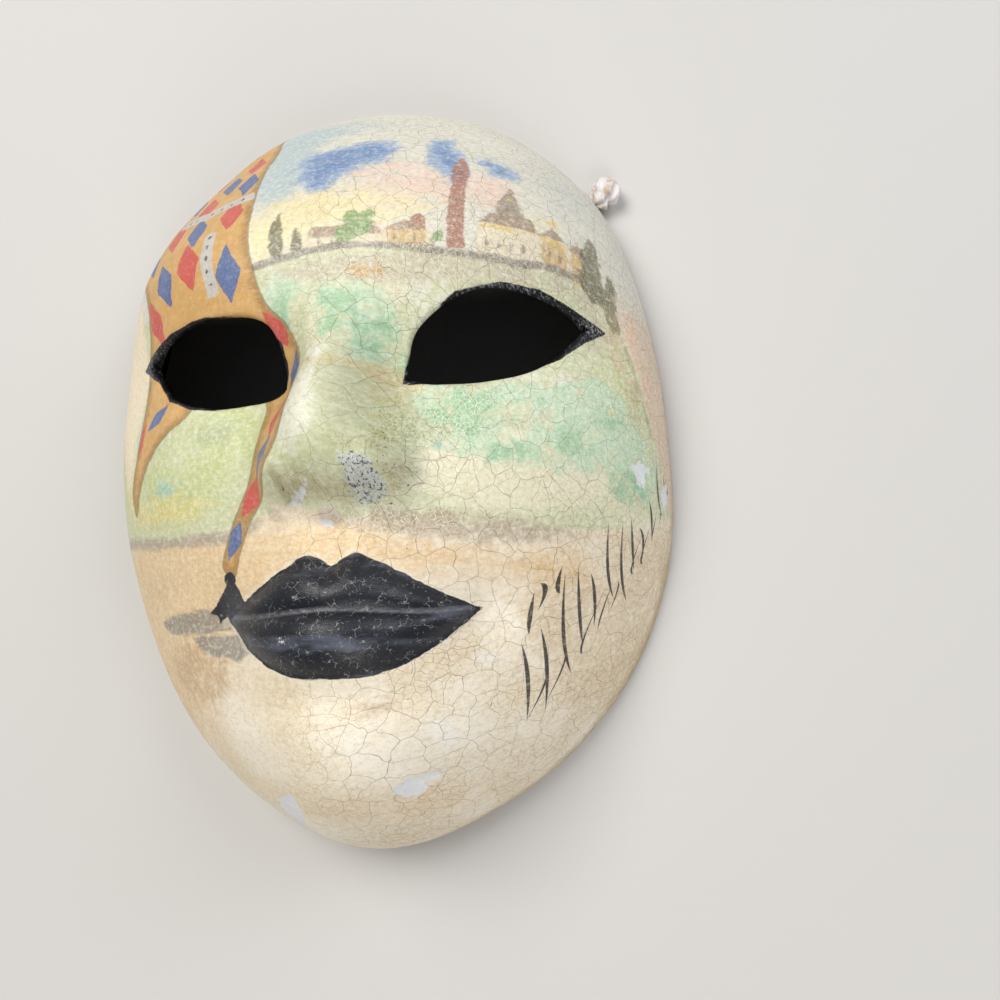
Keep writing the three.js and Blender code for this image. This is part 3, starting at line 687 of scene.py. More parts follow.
# %% Soft patches: place, reach across and along, and weight
PATCHES = {
    "ochre_sand": [(-52, -50, 26, 34, 1.1), (-25, -36, 26, 10, 0.8), (22, -36, 18, 6, 0.7),
        (48, -38, 14, 7, 0.6), (-60, -20, 8, 20, 0.4), (0, -33, 14, 6, 0.8), (10, -90, 50, 7, 0.5)],
    "tan_cheek": [(60, -58, 18, 22, 1), (44, -48, 12, 12, 0.6), (72, -34, 8, 16, 0.8)],
    "brown_stain": [(-37, -60, 13, 8, 1), (-50, -56, 10, 10, 0.6), (8, -67.5, 7, 2.2, 0.8),
        (-12, -67, 8, 2.4, 0.5), (26, -57.5, 7, 3, 0.5), (-56, -38, 12, 6, 0.5), (30, -47, 5, 4, 0.3)],
    # The next patches are partly pale paint and partly painted highlights, as on the nose and the chin
    "pale_paint_and_painted_highlight": [(-4, -9, 5, 6, 1.1), (2, -75, 14, 8, 0.6), (22, -74, 5, 4, 0.9), (0, 9, 4, 2.5, 1),
        (-3, -2, 6, 10, 1), (31, -58, 4, 2.5, 0.9), (45, 6.5, 12, 2.2, 0.9), (-41, -8.5, 9, 9, 0.6),
        (23, 22, 9, 8, 0.8), (-14, 29, 4, 8, 0.6), (40, 78, 26, 10, 0.5)],
    "yellow_green": [(-44, -13, 22, 13, 1), (-24, -3, 12, 8, 0.8), (66, 4, 8, 18, 0.6),
        (14, -8, 6, 14, 0.6), (0, -12, 14, 10, 0.5)],
    "yellow": [(-46, -20.5, 16, 4.5, 1), (-64, -10, 8, 10, 0.7), (16, -4, 9, 12, 0.4)],
    "cream": [(40, -20, 26, 6.5, 1), (63, 2, 6, 3, 0.6), (-3, 15, 4, 8, 0.7), (41, -8.5, 8, 2.4, 0.9),
        (25, -15, 9, 5, 0.9), (55, -17, 7, 3, 0.8), (68, -27, 10, 4, 0.6), (14, 25, 5, 5, 0.8)],
    "mint": [(46, 1, 10, 4, 1), (59, 4, 6, 4, 0.9), (62, -7, 8, 8, 1.1), (38, -12, 12, 4, 0.8),
        (30, -3, 9, 6, 0.9), (52, -9, 7, 7, 0.9), (-12, 26, 5, 5, 1), (-14, 18, 4, 7, 0.9),
        (4, 24, 8, 6, 0.8), (8, 15, 8, 7, 1), (-8, 2, 5, 5, 0.6), (-60, -2, 9, 9, 0.6),
        (20, 3, 5, 6, 0.8), (69, -15, 5, 8, 0.9)],
    "emerald": [(29, -2.4, 8, 5.5, 1.3), (52.5, -9.5, 5, 5.5, 1), (39, -12.5, 6, 3.2, 0.9),
        (66, -18, 5.5, 4, 1.2), (3, 23, 4.5, 4, 0.8), (9, 15, 4.5, 5, 1), (1, 18, 3.5, 6, 0.9),
        (-12, 22, 3, 8, 0.9), (16, 8, 3, 5, 0.8), (62, -3, 4, 5, 0.7), (-7, 3, 3, 3, 0.8),
        (45, 0, 5, 2, 0.6)],
    "dull_green": [(27, 0, 11, 5, 0.9), (34, -6, 14, 3, 0.7), (24, -4, 6, 6, 0.8), (58, 3, 10, 7, 0.6),
        (-30, -4, 8, 5, 0.8), (17, -15, 4, 8, 0.7)],
    "teal": [(-46, -14.5, 5, 3.5, 1), (-52, -3, 8, 6, 0.7), (-31, -19, 5, 3, 0.4), (24, -11, 5, 2, 0.7)],
    "nose_yellow": [(6, 6.0, 14, 2.4, 1), (14, 2, 5, 10, 0.7), (4, -3, 6, 5, 0.4), (6, -22, 16, 3, 0.5)],
    # The next patches are painted shade under the nose tip and beside its wings
    "nose_shade": [(-5.5, -20.5, 4, 3, 1), (3, -21.5, 4.5, 3, 0.8), (15, -18.5, 3, 6, 0.7),
        (8.5, -13, 3.5, 2.5, 0.8), (13, -8, 2.5, 7, 0.5), (-9, -17, 2, 5, 0.6)],
    "shore_beige": [(34, 29.5, 24, 3.6, 1), (10, 30.5, 18, 3.4, 1), (60, 22, 6, 8, 0.8), (-6, 31, 8, 2, 0.6)],
    "ochre_patch": [(9, 29.6, 5.5, 2.6, 1)],
    "horizon_band": [(16, -27.4, 14, 3.2, 1), (37, -29.8, 19, 3.4, 1), (-12, -25, 6, 3, 0.5)],
    "blue_grey": [(-19, 74, 9, 16, 1.3), (-8, 86, 18, 7, 0.7), (-15, 58, 6, 10, 0.9),
        (34, 66, 12, 8, 0.4), (56, 60, 12, 16, 0.5), (28, 86, 20, 8, 0.3)],
    "yellow_glow": [(-4, 46, 16, 9, 1), (18, 47, 12, 7, 0.6), (-16, 38, 6, 6, 0.8), (48, 44, 10, 6, 0.5)],
    "pink_glow": [(22, 54, 15, 9, 1), (6, 60, 10, 5, 0.5), (38, 52, 7, 7, 0.7), (-15, 47, 4, 7, 0.4)],
    "pink_streak": [(69.6, 24, 1.8, 8, 1), (73, 10, 1.4, 8, 0.8), (75.5, -4, 1.2, 8, 0.7)],
    "left_cream": [(-67, 26, 8, 20, 1.3), (-64, 6, 5, 20, 1)],
    "lump": [(-0.3, -26.5, 2.8, 2.3, 1)],
    "lid_wear": [(33, 26.5, 24, 3.5, 1), (16, 11, 3.5, 9, 1), (60, 21, 5, 3, 1), (-58, 20, 4, 3, 0.8)],
    "temple": [(65, 19, 3, 9, 1), (69, 4, 2.5, 10, 0.8)],
    # The next patches are painted highlights on the lips
    "lip_painted_highlight": [(-2, -53.6, 19, 2.0, 1), (1, -38.6, 13, 2.2, 0.5), (25, -48, 7, 2.5, 0.7),
        (-27, -47, 4, 2.2, 0.8)],
    "white_net": [(28, -3, 24, 8, 1.3), (18, -27, 36, 5, 1.2), (34, 29, 28, 6, 1), (12, -14, 10, 12, 0.6),
        (8, 31, 12, 6, 0.8), (60, -10, 14, 14, 0.6), (20, 44, 30, 10, 0.5)],
    "specks": [(14, -9, 4, 8, 1), (13, -20, 6, 8, 1), (17, -33, 2, 2, 0.8), (-6, -21, 4, 3, 0.8),
        (30, -66, 20, 10, 0.5), (45, 0, 12, 4, 0.5)],
}
print("soft patches:", sum(len(patch) for patch in PATCHES.values()))

# %% [markdown]
# Cracks and brush marks need a plane to lie in that follows the surface. Here the dome is rolled out:
# each point moves away from the middle by three quarters of how far the side wall has dropped there.

# %% The dome rolled out flat
DROP_MM = 41.0


def spread_out(x, y):
    """(x, y) * (1 + drop * (1 - sqrt(1 - s^3.05)) / r), with s the share of the way to the rim."""
    radius = np.maximum(np.hypot(x, y), 1e-6)
    share = np.clip(radius / rim_radius(x, y), 0, 1)
    factor = 1 + DROP_MM * (1 - np.sqrt(1 - share**FLATNESS)) / radius
    return np.stack([x * factor, y * factor, 0 * x], -1).astype(np.float32)


# %% [markdown]
# The shore, the horizon and the line beside the pale strip at the temple are lines of even width,
# which stop where the cloth or the side of the face begins. The net of dark cracks is absent on the
# side with the cloth, and weak on the nose.

# %% All paint fields at given points
OUTLINES = {
    "cloth": CLOTH,
    "red": [lozenge(*spot) for spot in RED_LOZENGES],
    "blue": [lozenge(*spot) for spot in BLUE_LOZENGES],
    "bands": [band_outline(line) for line in BAND_MIDDLES],
    "dots": DOTS,
    "clouds": CLOUDS,
    "lids": LIDS,
    "tassel": TASSEL,
    "shadow": SHADOW,
    "chips": CHIPS,
    "pitted": PITTED,
    **TOWN,
}
# Half the width of a painted line, and how far its middle lies below or outside what it follows
SHORE_HALF, SHORE_DROP = 1.2, 0.4
HORIZON_HALF, HORIZON_DROP = 2.2, 0.6
SIDE_HALF, SIDE_DROP = 0.8, 0.5
# Paint goes this far past the edge of a lip, and a depth sinks by OFF_MM where a line has to stop
LIP_OVER_MM = 0.5
OFF_MM = 3


def paint_fields(x, y):
    """One number per point and paint: depths in mm, and sums of bells."""
    top, line, low = lip_edges(x)
    sky, water = over_line(SHORE_X, SHORE_Y, x, y), over_line(HORIZON_X, HORIZON_Y, x, y)
    fields = {name: depth_of(shapes, x, y) for name, shapes in OUTLINES.items()}
    for name in ("red", "blue", "bands", "dots"):
        fields[name] = np.minimum(fields[name], fields["cloth"])
    fields |= {name: sum(bell(x, y, *b) for b in patch) for name, patch in PATCHES.items()}

    # The lips end in points, so their sides close at half the speed of the way out
    sides = (MOUTH_HALF + 0.8 - np.abs(x)) * 0.5
    edges = np.minimum(top - y, y - low) + LIP_OVER_MM
    fields["lips"] = np.minimum(edges, sides)
    at_corner = np.abs(x) > MOUTH_HALF - 1
    fields["mouth_line"] = np.minimum(np.abs(y - line - 0.3), OFF_MM) + OFF_MM * at_corner

    fields |= {"sky": sky, "water": water}
    shore = SHORE_HALF - np.abs(sky + SHORE_DROP)
    fields["shore"] = shore - OFF_MM * (past(x, 58, 64) + past(x, -30, -38))
    fields["horizon"] = (HORIZON_HALF - np.abs(water + HORIZON_DROP)) * past(x, -14, -22)

    strip, fade = depth_of(SIDE_STRIP, x, y), past(y, 20, 38)
    fields["side_strip"] = np.minimum(strip, 1) * (1 - fade) - 0.4 * fade
    side_line = SIDE_HALF - np.abs(strip + SIDE_DROP)
    fields["side_line"] = side_line - OFF_MM * (past(y, 28, 38) + past(y, -2, -18))

    fields["edge"] = np.clip(np.hypot(x, y) / rim_radius(x, y), 0, 1.02)
    fields["dark_net"] = past(x, -22, 6) * (1 - bell(x, y, 2, -9, 9, 13, 0.6))
    return fields


print("outlined paints:", len(OUTLINES))

# %% [markdown]
# ## A grid with two eyes in it
#
# The plane is covered by a square grid, bent into a disk and stretched out to the rim. A row of the
# grid runs through both eyes. There it is a slit, which opens into the two eye outlines: the rows
# above follow the upper lids, and those below follow the lower ones, less and less further away.
# So the edge of each opening is a line of vertices. A boolean cut would leave it ragged.

# %% Eye openings and the bands of the grid
EYES = {
    "right": {
        "upper": [(15.5, 6.6), (19, 17), (33, 25.6), (47.5, 25.4), (58.5, 21)],
        "lower": [(15.5, 6.6), (23, 5.2), (34, 4.9), (46.5, 9.2), (58.5, 21)],
    },
    "left": {
        "upper": [(13.6, 5.6), (17, 20), (31, 23.8), (46, 23), (57, 19.6)],
        "lower": [(13.6, 5.6), (22, 3.6), (32, 2.8), (46, 8), (57, 19.6)],
    },
}
EYE_ROW, EYE_IN, EYE_TURN, EYE_OUT = 0.12, 0.05, 0.12, 0.53
INNER_EDGE = 0.25
REACH = {"upper": 0.5, "lower": 0.36}
EDGE_ROUND = 1.3
EDGE_FADE = 0.10
CORNER_AWAY = (-0.86, -0.51)
COARSE = 3

# [end of the band, cells in it], each a multiple of COARSE
COLUMN_BANDS = [(EYE_IN, 12), (EYE_TURN, 12), (EYE_OUT, 54), (1, 48)]
ROW_BANDS = [(-0.62, 30), (-0.40, 33), (-0.294, 24), (-0.22, 18), (-0.04, 45), (EYE_ROW, 27),
    (0.24, 18), (0.60, 66), (1, 30)]


def band_stations(start, bands):
    parts = [[start]]
    for end, cells in bands:
        parts.append(np.linspace(parts[-1][-1], end, cells + 1)[1:])
    return np.concatenate(parts)


half = band_stations(0, COLUMN_BANDS)
COLUMNS = np.concatenate([-half[:0:-1], half])
ROWS = band_stations(-1, ROW_BANDS)
eye_row = int(np.argmin(np.abs(ROWS - EYE_ROW)))
print("grid:", len(COLUMNS) - 1, "by", len(ROWS) - 1, "cells")


# %% Between the square and the mask's plane
def square_to_plane(u, v):
    """a = u sqrt(1 - v^2/2) and b = v sqrt(1 - u^2/2) make the square a disk; the share of the way
    out is sin(pi/2 * length), and it is multiplied by the rim's radius in that direction."""
    a, b = u * np.sqrt(1 - v * v / 2), v * np.sqrt(1 - u * u / 2)
    length = np.hypot(a, b)
    radius = np.sin(np.minimum(length, 1) * np.pi / 2) * rim_radius(a, b)
    return radius * a / np.maximum(length, 1e-9), radius * b / np.maximum(length, 1e-9)


def plane_to_square(x, y):
    """The same way back."""
    radius = np.hypot(x, y)
    share = np.arcsin(np.clip(radius / rim_radius(x, y), 0, 1)) * 2 / np.pi
    a, b = share * x / radius, share * y / radius
    root = lambda value: np.sqrt(np.maximum(value, 0))
    base, side, two = 2 + a * a - b * b, 2 - a * a + b * b, 2 * np.sqrt(2)
    u = (root(base + two * a) - root(base - two * a)) / 2
    return u, (root(side + two * b) - root(side - two * b)) / 2


back = plane_to_square(*square_to_plane(0.5, 0.3))
print("(0.5, 0.3) to the plane and back:", [round(float(c), 6) for c in back])


# %% Lids
def lid_curve(side, lid, along):
    """A lid's line in the plane, from the nose out to the temple; x counts outwards."""
    points = np.array(EYES[side][lid])
    stations = np.linspace(0, 1, len(points))
    return np.stack([smooth(stations, points[:, i], along, False) for i in (0, 1)])


def lid_share(out):
    """How far along a lid a column of the grid lies."""
    return smooth([EYE_IN, EYE_TURN, EYE_OUT], [0, INNER_EDGE, 1], out, False)


def lid_brink(side, lid, along):
    """The line where the face starts to roll into the opening: the lid moved back from the opening
    by the roll's radius. At the inner corner it moves towards the nose, and at the outer, pointed
    corner not at all."""
    line = lid_curve(side, lid, along)
    ahead = lid_curve(side, lid, np.minimum(along + 0.002, 1))
    behind = lid_curve(side, lid, np.maximum(along - 0.002, 0))
    way_x, way_y = (ahead - behind) / np.linalg.norm(ahead - behind, axis=0)
    back = np.stack([-way_y, way_x]) * (1 if lid == "upper" else -1)
    turn = ease(along / EDGE_FADE)
    back = back * turn + np.array(CORNER_AWAY)[:, None] * (1 - turn)
    return line + EDGE_ROUND * ease((1 - along) / EDGE_FADE) * back


def lid_shift(u, lid):
    """How far the slit moves in each column: to the lid's brink inside an eye, blended between the
    two inner corners over the nose, and dying out beyond the outer corners."""
    out = np.abs(u)
    along = lid_share(out)
    shift = np.zeros((2, len(u)))
    corner = {}
    for side, sign in (("left", -1), ("right", 1)):
        moved = np.stack(plane_to_square(*lid_brink(side, lid, along)))
        moved -= np.stack([out, np.full(len(u), EYE_ROW)])
        inner = np.stack(plane_to_square(*lid_brink(side, lid, np.zeros(1)))) - [[EYE_IN], [EYE_ROW]]
        outer = np.stack(plane_to_square(*lid_curve(side, lid, np.ones(1)))) - [[EYE_OUT], [EYE_ROW]]
        fade = (1 - np.clip((out - EYE_OUT) / (1 - EYE_OUT), 0, 1) ** 2) ** 2
        here = np.where(out > EYE_OUT, outer * fade, moved) * [[sign], [1]]
        shift = np.where(np.sign(u) == sign, here, shift)
        corner[side] = inner * [[sign], [1]]
    mix = (u / EYE_IN + 1) / 2
    return np.where(out < EYE_IN, corner["right"] * mix + corner["left"] * (1 - mix), shift)


def grid_plane(v, lid):
    """Rows v of the grid in the mask's plane. The sideways shift dies as (1 - t)^2 and the other as
    (1 - t^2)^2, where t is the distance from the slit over the lid's reach."""
    t = np.minimum(np.abs(v[:, None] - EYE_ROW) / REACH[lid], 1)
    shift_u, shift_v = lid_shift(COLUMNS, lid)
    return square_to_plane(COLUMNS + shift_u * (1 - t) ** 2, v[:, None] + shift_v * (1 - t * t) ** 2)


# %% Points of the outer and the inner side
RIM_ROUND = 0.9
RIBBON_ANGLE, LIFT, LIFT_FLAT, LIFT_END = 49, 2.2, 6, 15


def rim_lift(x, y):
    """How far the rim is off the table: not at all, but for the stretch over the ribbon."""
    away = np.abs(np.degrees(np.arctan2(y, x)) - RIBBON_ANGLE)
    return LIFT * ease((LIFT_END - away) / (LIFT_END - LIFT_FLAT))


upper_x, upper_y = grid_plane(ROWS, "upper")
lower_x, lower_y = grid_plane(ROWS, "lower")
below = (np.arange(len(ROWS)) < eye_row)[:, None]
plane_x = np.where(below, lower_x, upper_x)
plane_y = np.where(below, lower_y, upper_y)
# The last row of the stack is the lower lids' edge
plane_x = np.vstack([plane_x, lower_x[eye_row]])
plane_y = np.vstack([plane_y, lower_y[eye_row]])

foot = rim_lift(plane_x, plane_y) + RIM_ROUND
normal = outward(plane_x, plane_y)
outer = np.stack([plane_x, plane_y, np.hypot(face_height(plane_x, plane_y), foot)], -1)
inner = outer - WALL * normal
inner[..., 2] = np.maximum(inner[..., 2], foot)
chip = depth_of(CHIPS, plane_x.ravel(), plane_y.ravel()).reshape(plane_x.shape)
outer -= CHIP_DEPTH_MM * ease(chip / 0.6 + 0.5)[..., None] * normal

cell_x = (plane_x[1:-1, 1:] - plane_x[1:-1, :-1])[: eye_row - 1]
print("narrowest cell below the eyes, mm:", round(float(np.min(cell_x)), 3))

# %% [markdown]
# ## Closing the shell
#
# The outer side carries the paint, so it is fine. The inner side takes every third point, because
# nothing on it is that small. At the rim and round each eye the two are joined by a rounded edge,
# half an ellipse from one side of the wall to the other, as a trimmed and sanded edge is.

# %% Faces of the two sides
across_count = len(COLUMNS)
fine = np.arange(outer.shape[0] * across_count).reshape(-1, across_count)
in_eye = (np.abs(COLUMNS) > EYE_IN + 1e-9) & (np.abs(COLUMNS) < EYE_OUT - 1e-9)


def sheet_faces(number, opened, row):
    """Quads of a grid of vertex numbers, whose last row is the lower lids' edge. Under the eye row,
    inside an eye, the upper corners are taken from that row."""
    low = np.where(opened, number[-1], number[row])
    top = number[1:-1].copy()
    top[row - 1] = low
    bottom = number[:-2]
    return np.stack([bottom[:, :-1], bottom[:, 1:], top[:, 1:], top[:, :-1]], -1).reshape(-1, 4), low


def loops(number, low, row, columns):
    """The rim and the two eye openings as closed lines of vertex numbers."""
    body = number[:-1]
    found = {"rim": np.concatenate([body[0, :-1], body[:-1, -1], body[-1, :0:-1], body[:0:-1, 0]])}
    for side, sign in (("left", -1), ("right", 1)):
        ends = [int(np.argmin(np.abs(columns - sign * c))) for c in (EYE_IN, EYE_OUT)]
        a, b = min(ends), max(ends)
        found[side] = np.concatenate([number[row, a:b], low[b:a:-1]])
    return found


outer_faces, low = sheet_faces(fine, in_eye, eye_row)
outer_loops = loops(fine, low, eye_row, COLUMNS)

picked = np.append(np.arange(0, len(ROWS), COARSE), len(ROWS))
coarse_points = inner[picked][:, ::COARSE]
coarse = np.arange(coarse_points.shape[0] * coarse_points.shape[1]).reshape(coarse_points.shape[:2])
inner_faces, coarse_low = sheet_faces(coarse, in_eye[::COARSE], eye_row // COARSE)
inner_loops = loops(coarse, coarse_low, eye_row // COARSE, COLUMNS[::COARSE])
print("outer faces:", len(outer_faces), "inner faces:", len(inner_faces))

# %% Rounded edges at the rim and round the eyes
EDGE_STEPS = 7

flat_outer, flat_inner, flat_normal = outer.reshape(-1, 3), inner.reshape(-1, 3), normal.reshape(-1, 3)
shell_points = [flat_outer, coarse_points.reshape(-1, 3)]
shell_faces = outer_faces.tolist() + (inner_faces + flat_outer.shape[0]).tolist()
is_inside = [0] * len(outer_faces) + [1] * len(inner_faces)


def eye_bulge(side):
    """From the brink of each lid to its edge, along the surface."""
    across_eye = COLUMNS[(np.abs(COLUMNS) >= EYE_IN - 1e-9) & (np.abs(COLUMNS) <= EYE_OUT + 1e-9)]
    out = across_eye[across_eye < 0] if side == "left" else across_eye[across_eye > 0]
    along = lid_share(np.abs(out))
    sign = -1 if side == "left" else 1
    lids = [lid_curve(side, lid, along) * [[sign], [1]] for lid in ("upper", "lower")]
    edge = np.concatenate([lids[0][:, :-1], lids[1][:, :0:-1]], axis=1)
    return np.stack([*edge, face_height(*edge)], -1)


for place, loop in outer_loops.items():
    top, bottom, up = flat_outer[loop], flat_inner[loop], flat_normal[loop]
    if place == "rim":
        bulge = np.zeros_like(top) - [0, 0, RIM_ROUND]
    else:
        bulge = eye_bulge(place) - top
        bulge -= (bulge * up).sum(-1, keepdims=True) * up
    middle, half_wall = (top + bottom) / 2, (top - bottom) / 2
    start = sum(len(p) for p in shell_points)
    turn = np.pi * np.arange(1, EDGE_STEPS)[:, None, None] / EDGE_STEPS
    edge = middle + half_wall * np.cos(turn) + bulge * np.sin(turn)
    shell_points.append(edge.reshape(-1, 3))
    number = np.vstack([loop, start + np.arange(edge.shape[0] * len(loop)).reshape(-1, len(loop))])
    ahead = np.roll(number, -1, axis=1)
    quads = np.stack([number[:-1], ahead[:-1], ahead[1:], number[1:]], -1).reshape(-1, 4)
    shell_faces += quads.tolist()
    is_inside += [0] * len(quads)
    last = number[-1].reshape(-1, COARSE)
    joined = inner_loops[place] + flat_outer.shape[0]
    six = np.column_stack([last, np.roll(last[:, 0], -1), np.roll(joined, -1), joined])
    shell_faces += six.tolist()
    is_inside += [1] * len(six)

shell_points = np.concatenate(shell_points)
print("shell points:", len(shell_points))
used = np.unique(np.concatenate([np.ravel(face) for face in shell_faces]))
renumber = np.zeros(len(shell_points), int)
renumber[used] = np.arange(len(used))
shell_faces = [renumber[face].tolist() for face in shell_faces]
shell_points = shell_points[used]
print("points that faces use:", len(shell_points))

# %% [markdown]
# ## The painted surface
#
# Under all paint lies a warm sand-coloured ground. Each coat goes over what is below it, from broad
# washes to small touches, in the order a painter works in. Three noises move the limits of a coat: a
# blotty one for sponged water and clouds, a streaky one for brushed edges, and a fine grain for
# flaked ones. Two more vary the tone: fibres of the paper, and a broad one.

# %% Coats of paint, from the ground up
# field, light tone, dark tone, where it starts, where it is full, noise, wobble, strength
COATS = [
    ("tan_cheek", "#DCC9A6", "#C9B08A", 0.2, 1.0, "blot", 0.9, 0.7),
    ("ochre_sand", "#E9CA95", "#D6AE76", 0.1, 1.0, "blot", 0.5, 0.8),
    ("brown_stain", "#C6A67C", "#A8875E", 0.2, 1.1, "blot", 0.8, 0.6),
    ("water", "#D4D6B2", "#C2C89E", -0.4, 0.5, "blot", 1.6, 1.0),
    ("yellow_green", "#CCD49B", "#B3BE78", 0.1, 1.0, "blot", 0.9, 0.85),
    ("yellow", "#E6D98E", "#D3C26B", 0.2, 1.0, "streak", 0.9, 0.75),
    ("cream", "#ECE6CB", "#DFD7B6", 0.2, 0.9, "blot", 0.8, 0.85),
    ("dull_green", "#B4BC98", "#9AA67F", 0.2, 0.9, "blot", 1.0, 0.75),
    ("mint", "#CBE2C6", "#ABCDAA", 0.25, 0.8, "blot", 1.5, 0.85),
    ("emerald", "#A4CDA2", "#7BAF84", 0.25, 0.9, "blot", 1.4, 0.8),
    ("teal", "#A9D3C7", "#7AB5A8", 0.3, 1.0, "blot", 1.3, 0.75),
    ("nose_yellow", "#DCCB95", "#C6B077", 0.2, 1.0, "streak", 0.9, 0.7),
    # painted shade under the nose
    ("nose_shade", "#B9AE84", "#958A60", 0.2, 1.0, "blot", 1.0, 0.7),
    ("horizon_band", "#BFAE96", "#9C8871", 0.25, 0.9, "blot", 0.9, 0.85),
    ("horizon", "#B5A997", "#8F8476", 0.0, 1.8, "streak", 0.9, 0.8),
    ("sky", "#E0DECF", "#CFCCBD", -0.5, 0.3, "streak", 1.2, 1.0),
    ("shore_beige", "#D0C7B0", "#B3A88F", 0.2, 0.9, "blot", 0.9, 0.8),
    ("ochre_patch", "#D4A765", "#BC8A4C", 0.3, 1.0, "blot", 1.2, 0.75),
    ("blue_grey", "#B9CACB", "#9FB5BB", 0.2, 1.0, "streak", 0.7, 0.9),
    ("yellow_glow", "#F3E7B8", "#E8D591", 0.2, 0.9, "streak", 0.8, 0.85),
    ("pink_glow", "#F0D5C6", "#E4BBA4", 0.2, 1.0, "streak", 0.9, 0.75),
    ("clouds", "#A9C4DA", "#5D86B8", -2.2, 1.0, "blot", 3.0, 0.85),
    ("clouds", "#6A93C2", "#3F6BA9", 0.4, 3.0, "streak", 3.6, 0.85),
    ("far_wall", "#E6DCC0", "#D2C3A0", -0.2, 0.4, "streak", 0.6, 0.85),
    ("red_tower", "#B27660", "#8F5644", -0.25, 0.35, "streak", 0.45, 0.9),
    ("brown_roof", "#A88A6F", "#826853", -0.3, 0.4, "streak", 0.9, 0.85),
    ("brown_hall", "#A8977D", "#77675B", -0.3, 0.4, "streak", 0.9, 0.85),
    ("ochre_house", "#D9B977", "#BD965A", -0.3, 0.4, "streak", 0.9, 0.85),
    ("bush", "#8CAE66", "#64894A", -0.4, 0.6, "blot", 1.8, 0.9),
    ("dark_mark", "#7F7066", "#5C4F4A", -0.25, 0.4, "streak", 0.5, 0.75),
    ("yellow_touch", "#EACD62", "#D6B34C", -0.3, 0.3, "streak", 0.9, 0.8),
    ("shore", "#8E867D", "#6A625C", -0.1, 0.7, "blot", 0.5, 0.85),
    ("cypress", "#77754F", "#525135", -0.3, 0.6, "blot", 1.6, 0.9),
    ("temple", "#CBB08C", "#A5946E", 0.2, 0.9, "streak", 0.9, 0.6),
    ("side_line", "#9A9268", "#7C7655", 0.0, 0.8, "blot", 0.8, 0.55),
    ("side_strip", "#DFCBB4", "#D0B394", -0.3, 0.8, "streak", 0.9, 0.9),
    ("pink_streak", "#E3BBA0", "#D9A98C", 0.3, 1.0, "streak", 0.9, 0.6),
    ("left_cream", "#F4E6CC", "#EAD8B4", 0.3, 0.7, "streak", 0.3, 0.95),
    # pale paint with painted highlights
    ("pale_paint_and_painted_highlight", "#F4F2E8", "#E6E4D9", 0.25, 1.1, "blot", 1.4, 0.6),
    ("lump", "#DED0C2", "#B9A799", 0.35, 0.6, "blot", 0.8, 0.8),
    ("shadow", "#8F8A82", "#6E6963", -0.6, 0.7, "streak", 1.2, 0.82),
    ("cloth", "#8A6A45", "#755639", -0.7, -0.3, "blot", 0.3, 0.75),
    ("cloth", "#B58C4E", "#A07A42", -0.25, 0.15, "blot", 0.3, 1.0),
    ("cloth", "#DDB170", "#C39450", 0.2, 2.6, "streak", 1.2, 1.0),
    ("red", "#D75A52", "#B93F40", -0.12, 0.12, "streak", 0.4, 0.95),
    ("blue", "#5273AA", "#37568B", -0.12, 0.12, "streak", 0.4, 0.95),
    ("bands", "#D2CFC8", "#B3B0AA", -0.15, 0.15, "streak", 0.4, 0.95),
    ("lips", "#F0E8D4", "#DDD0B4", -1.5, -0.4, "streak", 0.9, 0.5),
    ("dots", "#3A383E", "#28272C", -0.15, 0.2, "streak", 0.3, 0.9),
]
BLACK_COATS = [
    ("tassel", "#2E2F35", "#222328", -0.15, 0.2, "streak", 0.6, 1.0),
    ("lips", "#22242C", "#13151C", -0.12, 0.15, "streak", 0.5, 1.0),
    ("lids", "#101114", "#08090C", -0.12, 0.15, "blot", 0.3, 1.0),
]
print("coats:", len(COATS) + len(BLACK_COATS))

# %% Papier-mache with gesso, tempera and a cracked varnish: satin, with glossier blacks
GROUND_LIGHT, GROUND_DARK = "#F1E8D6", "#DFCCA9"

painted, tree, shader = new_material("painted_papier_mache", IOR=1.5, Specular_IOR_Level=0.42)
place = node(tree, "Attribute", attribute_name="spread", out="Vector")


def noise(size_mm, detail=3.0, roughness=0.5, stretch=(1, 1, 1), spread=(0.3, 0.7)):
    """Cloudy noise of a size in mm, spread out to -0.5 .. 0.5."""
    at = node(tree, "VectorMath", {0: place, 1: [s / size_mm for s in stretch]}, operation="MULTIPLY")
    raw = node(tree, "TexNoise", {"Vector": at, "Scale": 1.0, "Detail": detail, "Roughness": roughness},
        noise_dimensions="2D")
    return node(tree, "MapRange", {0: raw, 1: spread[0], 2: spread[1], 3: -0.5, 4: 0.5}, clamp=False)


def net(cell_mm, line_mm, warp_mm):
    """1 on the borders of Voronoi cells, fading to 0 over the width of the line. Noise with 1.6
    swings to a cell moves the borders by up to the warp."""
    bend = node(tree, "TexNoise", {"Vector": place, "Scale": 1.6 / cell_mm, "Detail": 1.0}, out="Color",
        noise_dimensions="2D")
    off = node(tree, "VectorMath", {0: bend, 1: [0.5] * 3}, operation="SUBTRACT")
    at = node(tree, "VectorMath", {0: off, 1: [2 * warp_mm] * 3, 2: place}, operation="MULTIPLY_ADD")
    away = node(tree, "TexVoronoi", {"Vector": at, "Scale": 1 / cell_mm}, feature="DISTANCE_TO_EDGE",
        voronoi_dimensions="2D")
    return node(tree, "MapRange", {0: away, 1: line_mm / cell_mm, 2: 0.0}, interpolation_type="SMOOTHSTEP")


def lay(below, paint, *shares):
    """A paint, given in hex or as another node's output, over what is below it. It covers as much as
    all its shares multiplied."""
    share = shares[0]
    for more in shares[1:]:
        share = node(tree, "Math", {0: share, 1: more}, operation="MULTIPLY")
    top = linear(paint) if isinstance(paint, str) else paint
    return node(tree, "Mix", {0: share, 6: below, 7: top}, out=2, data_type="RGBA")


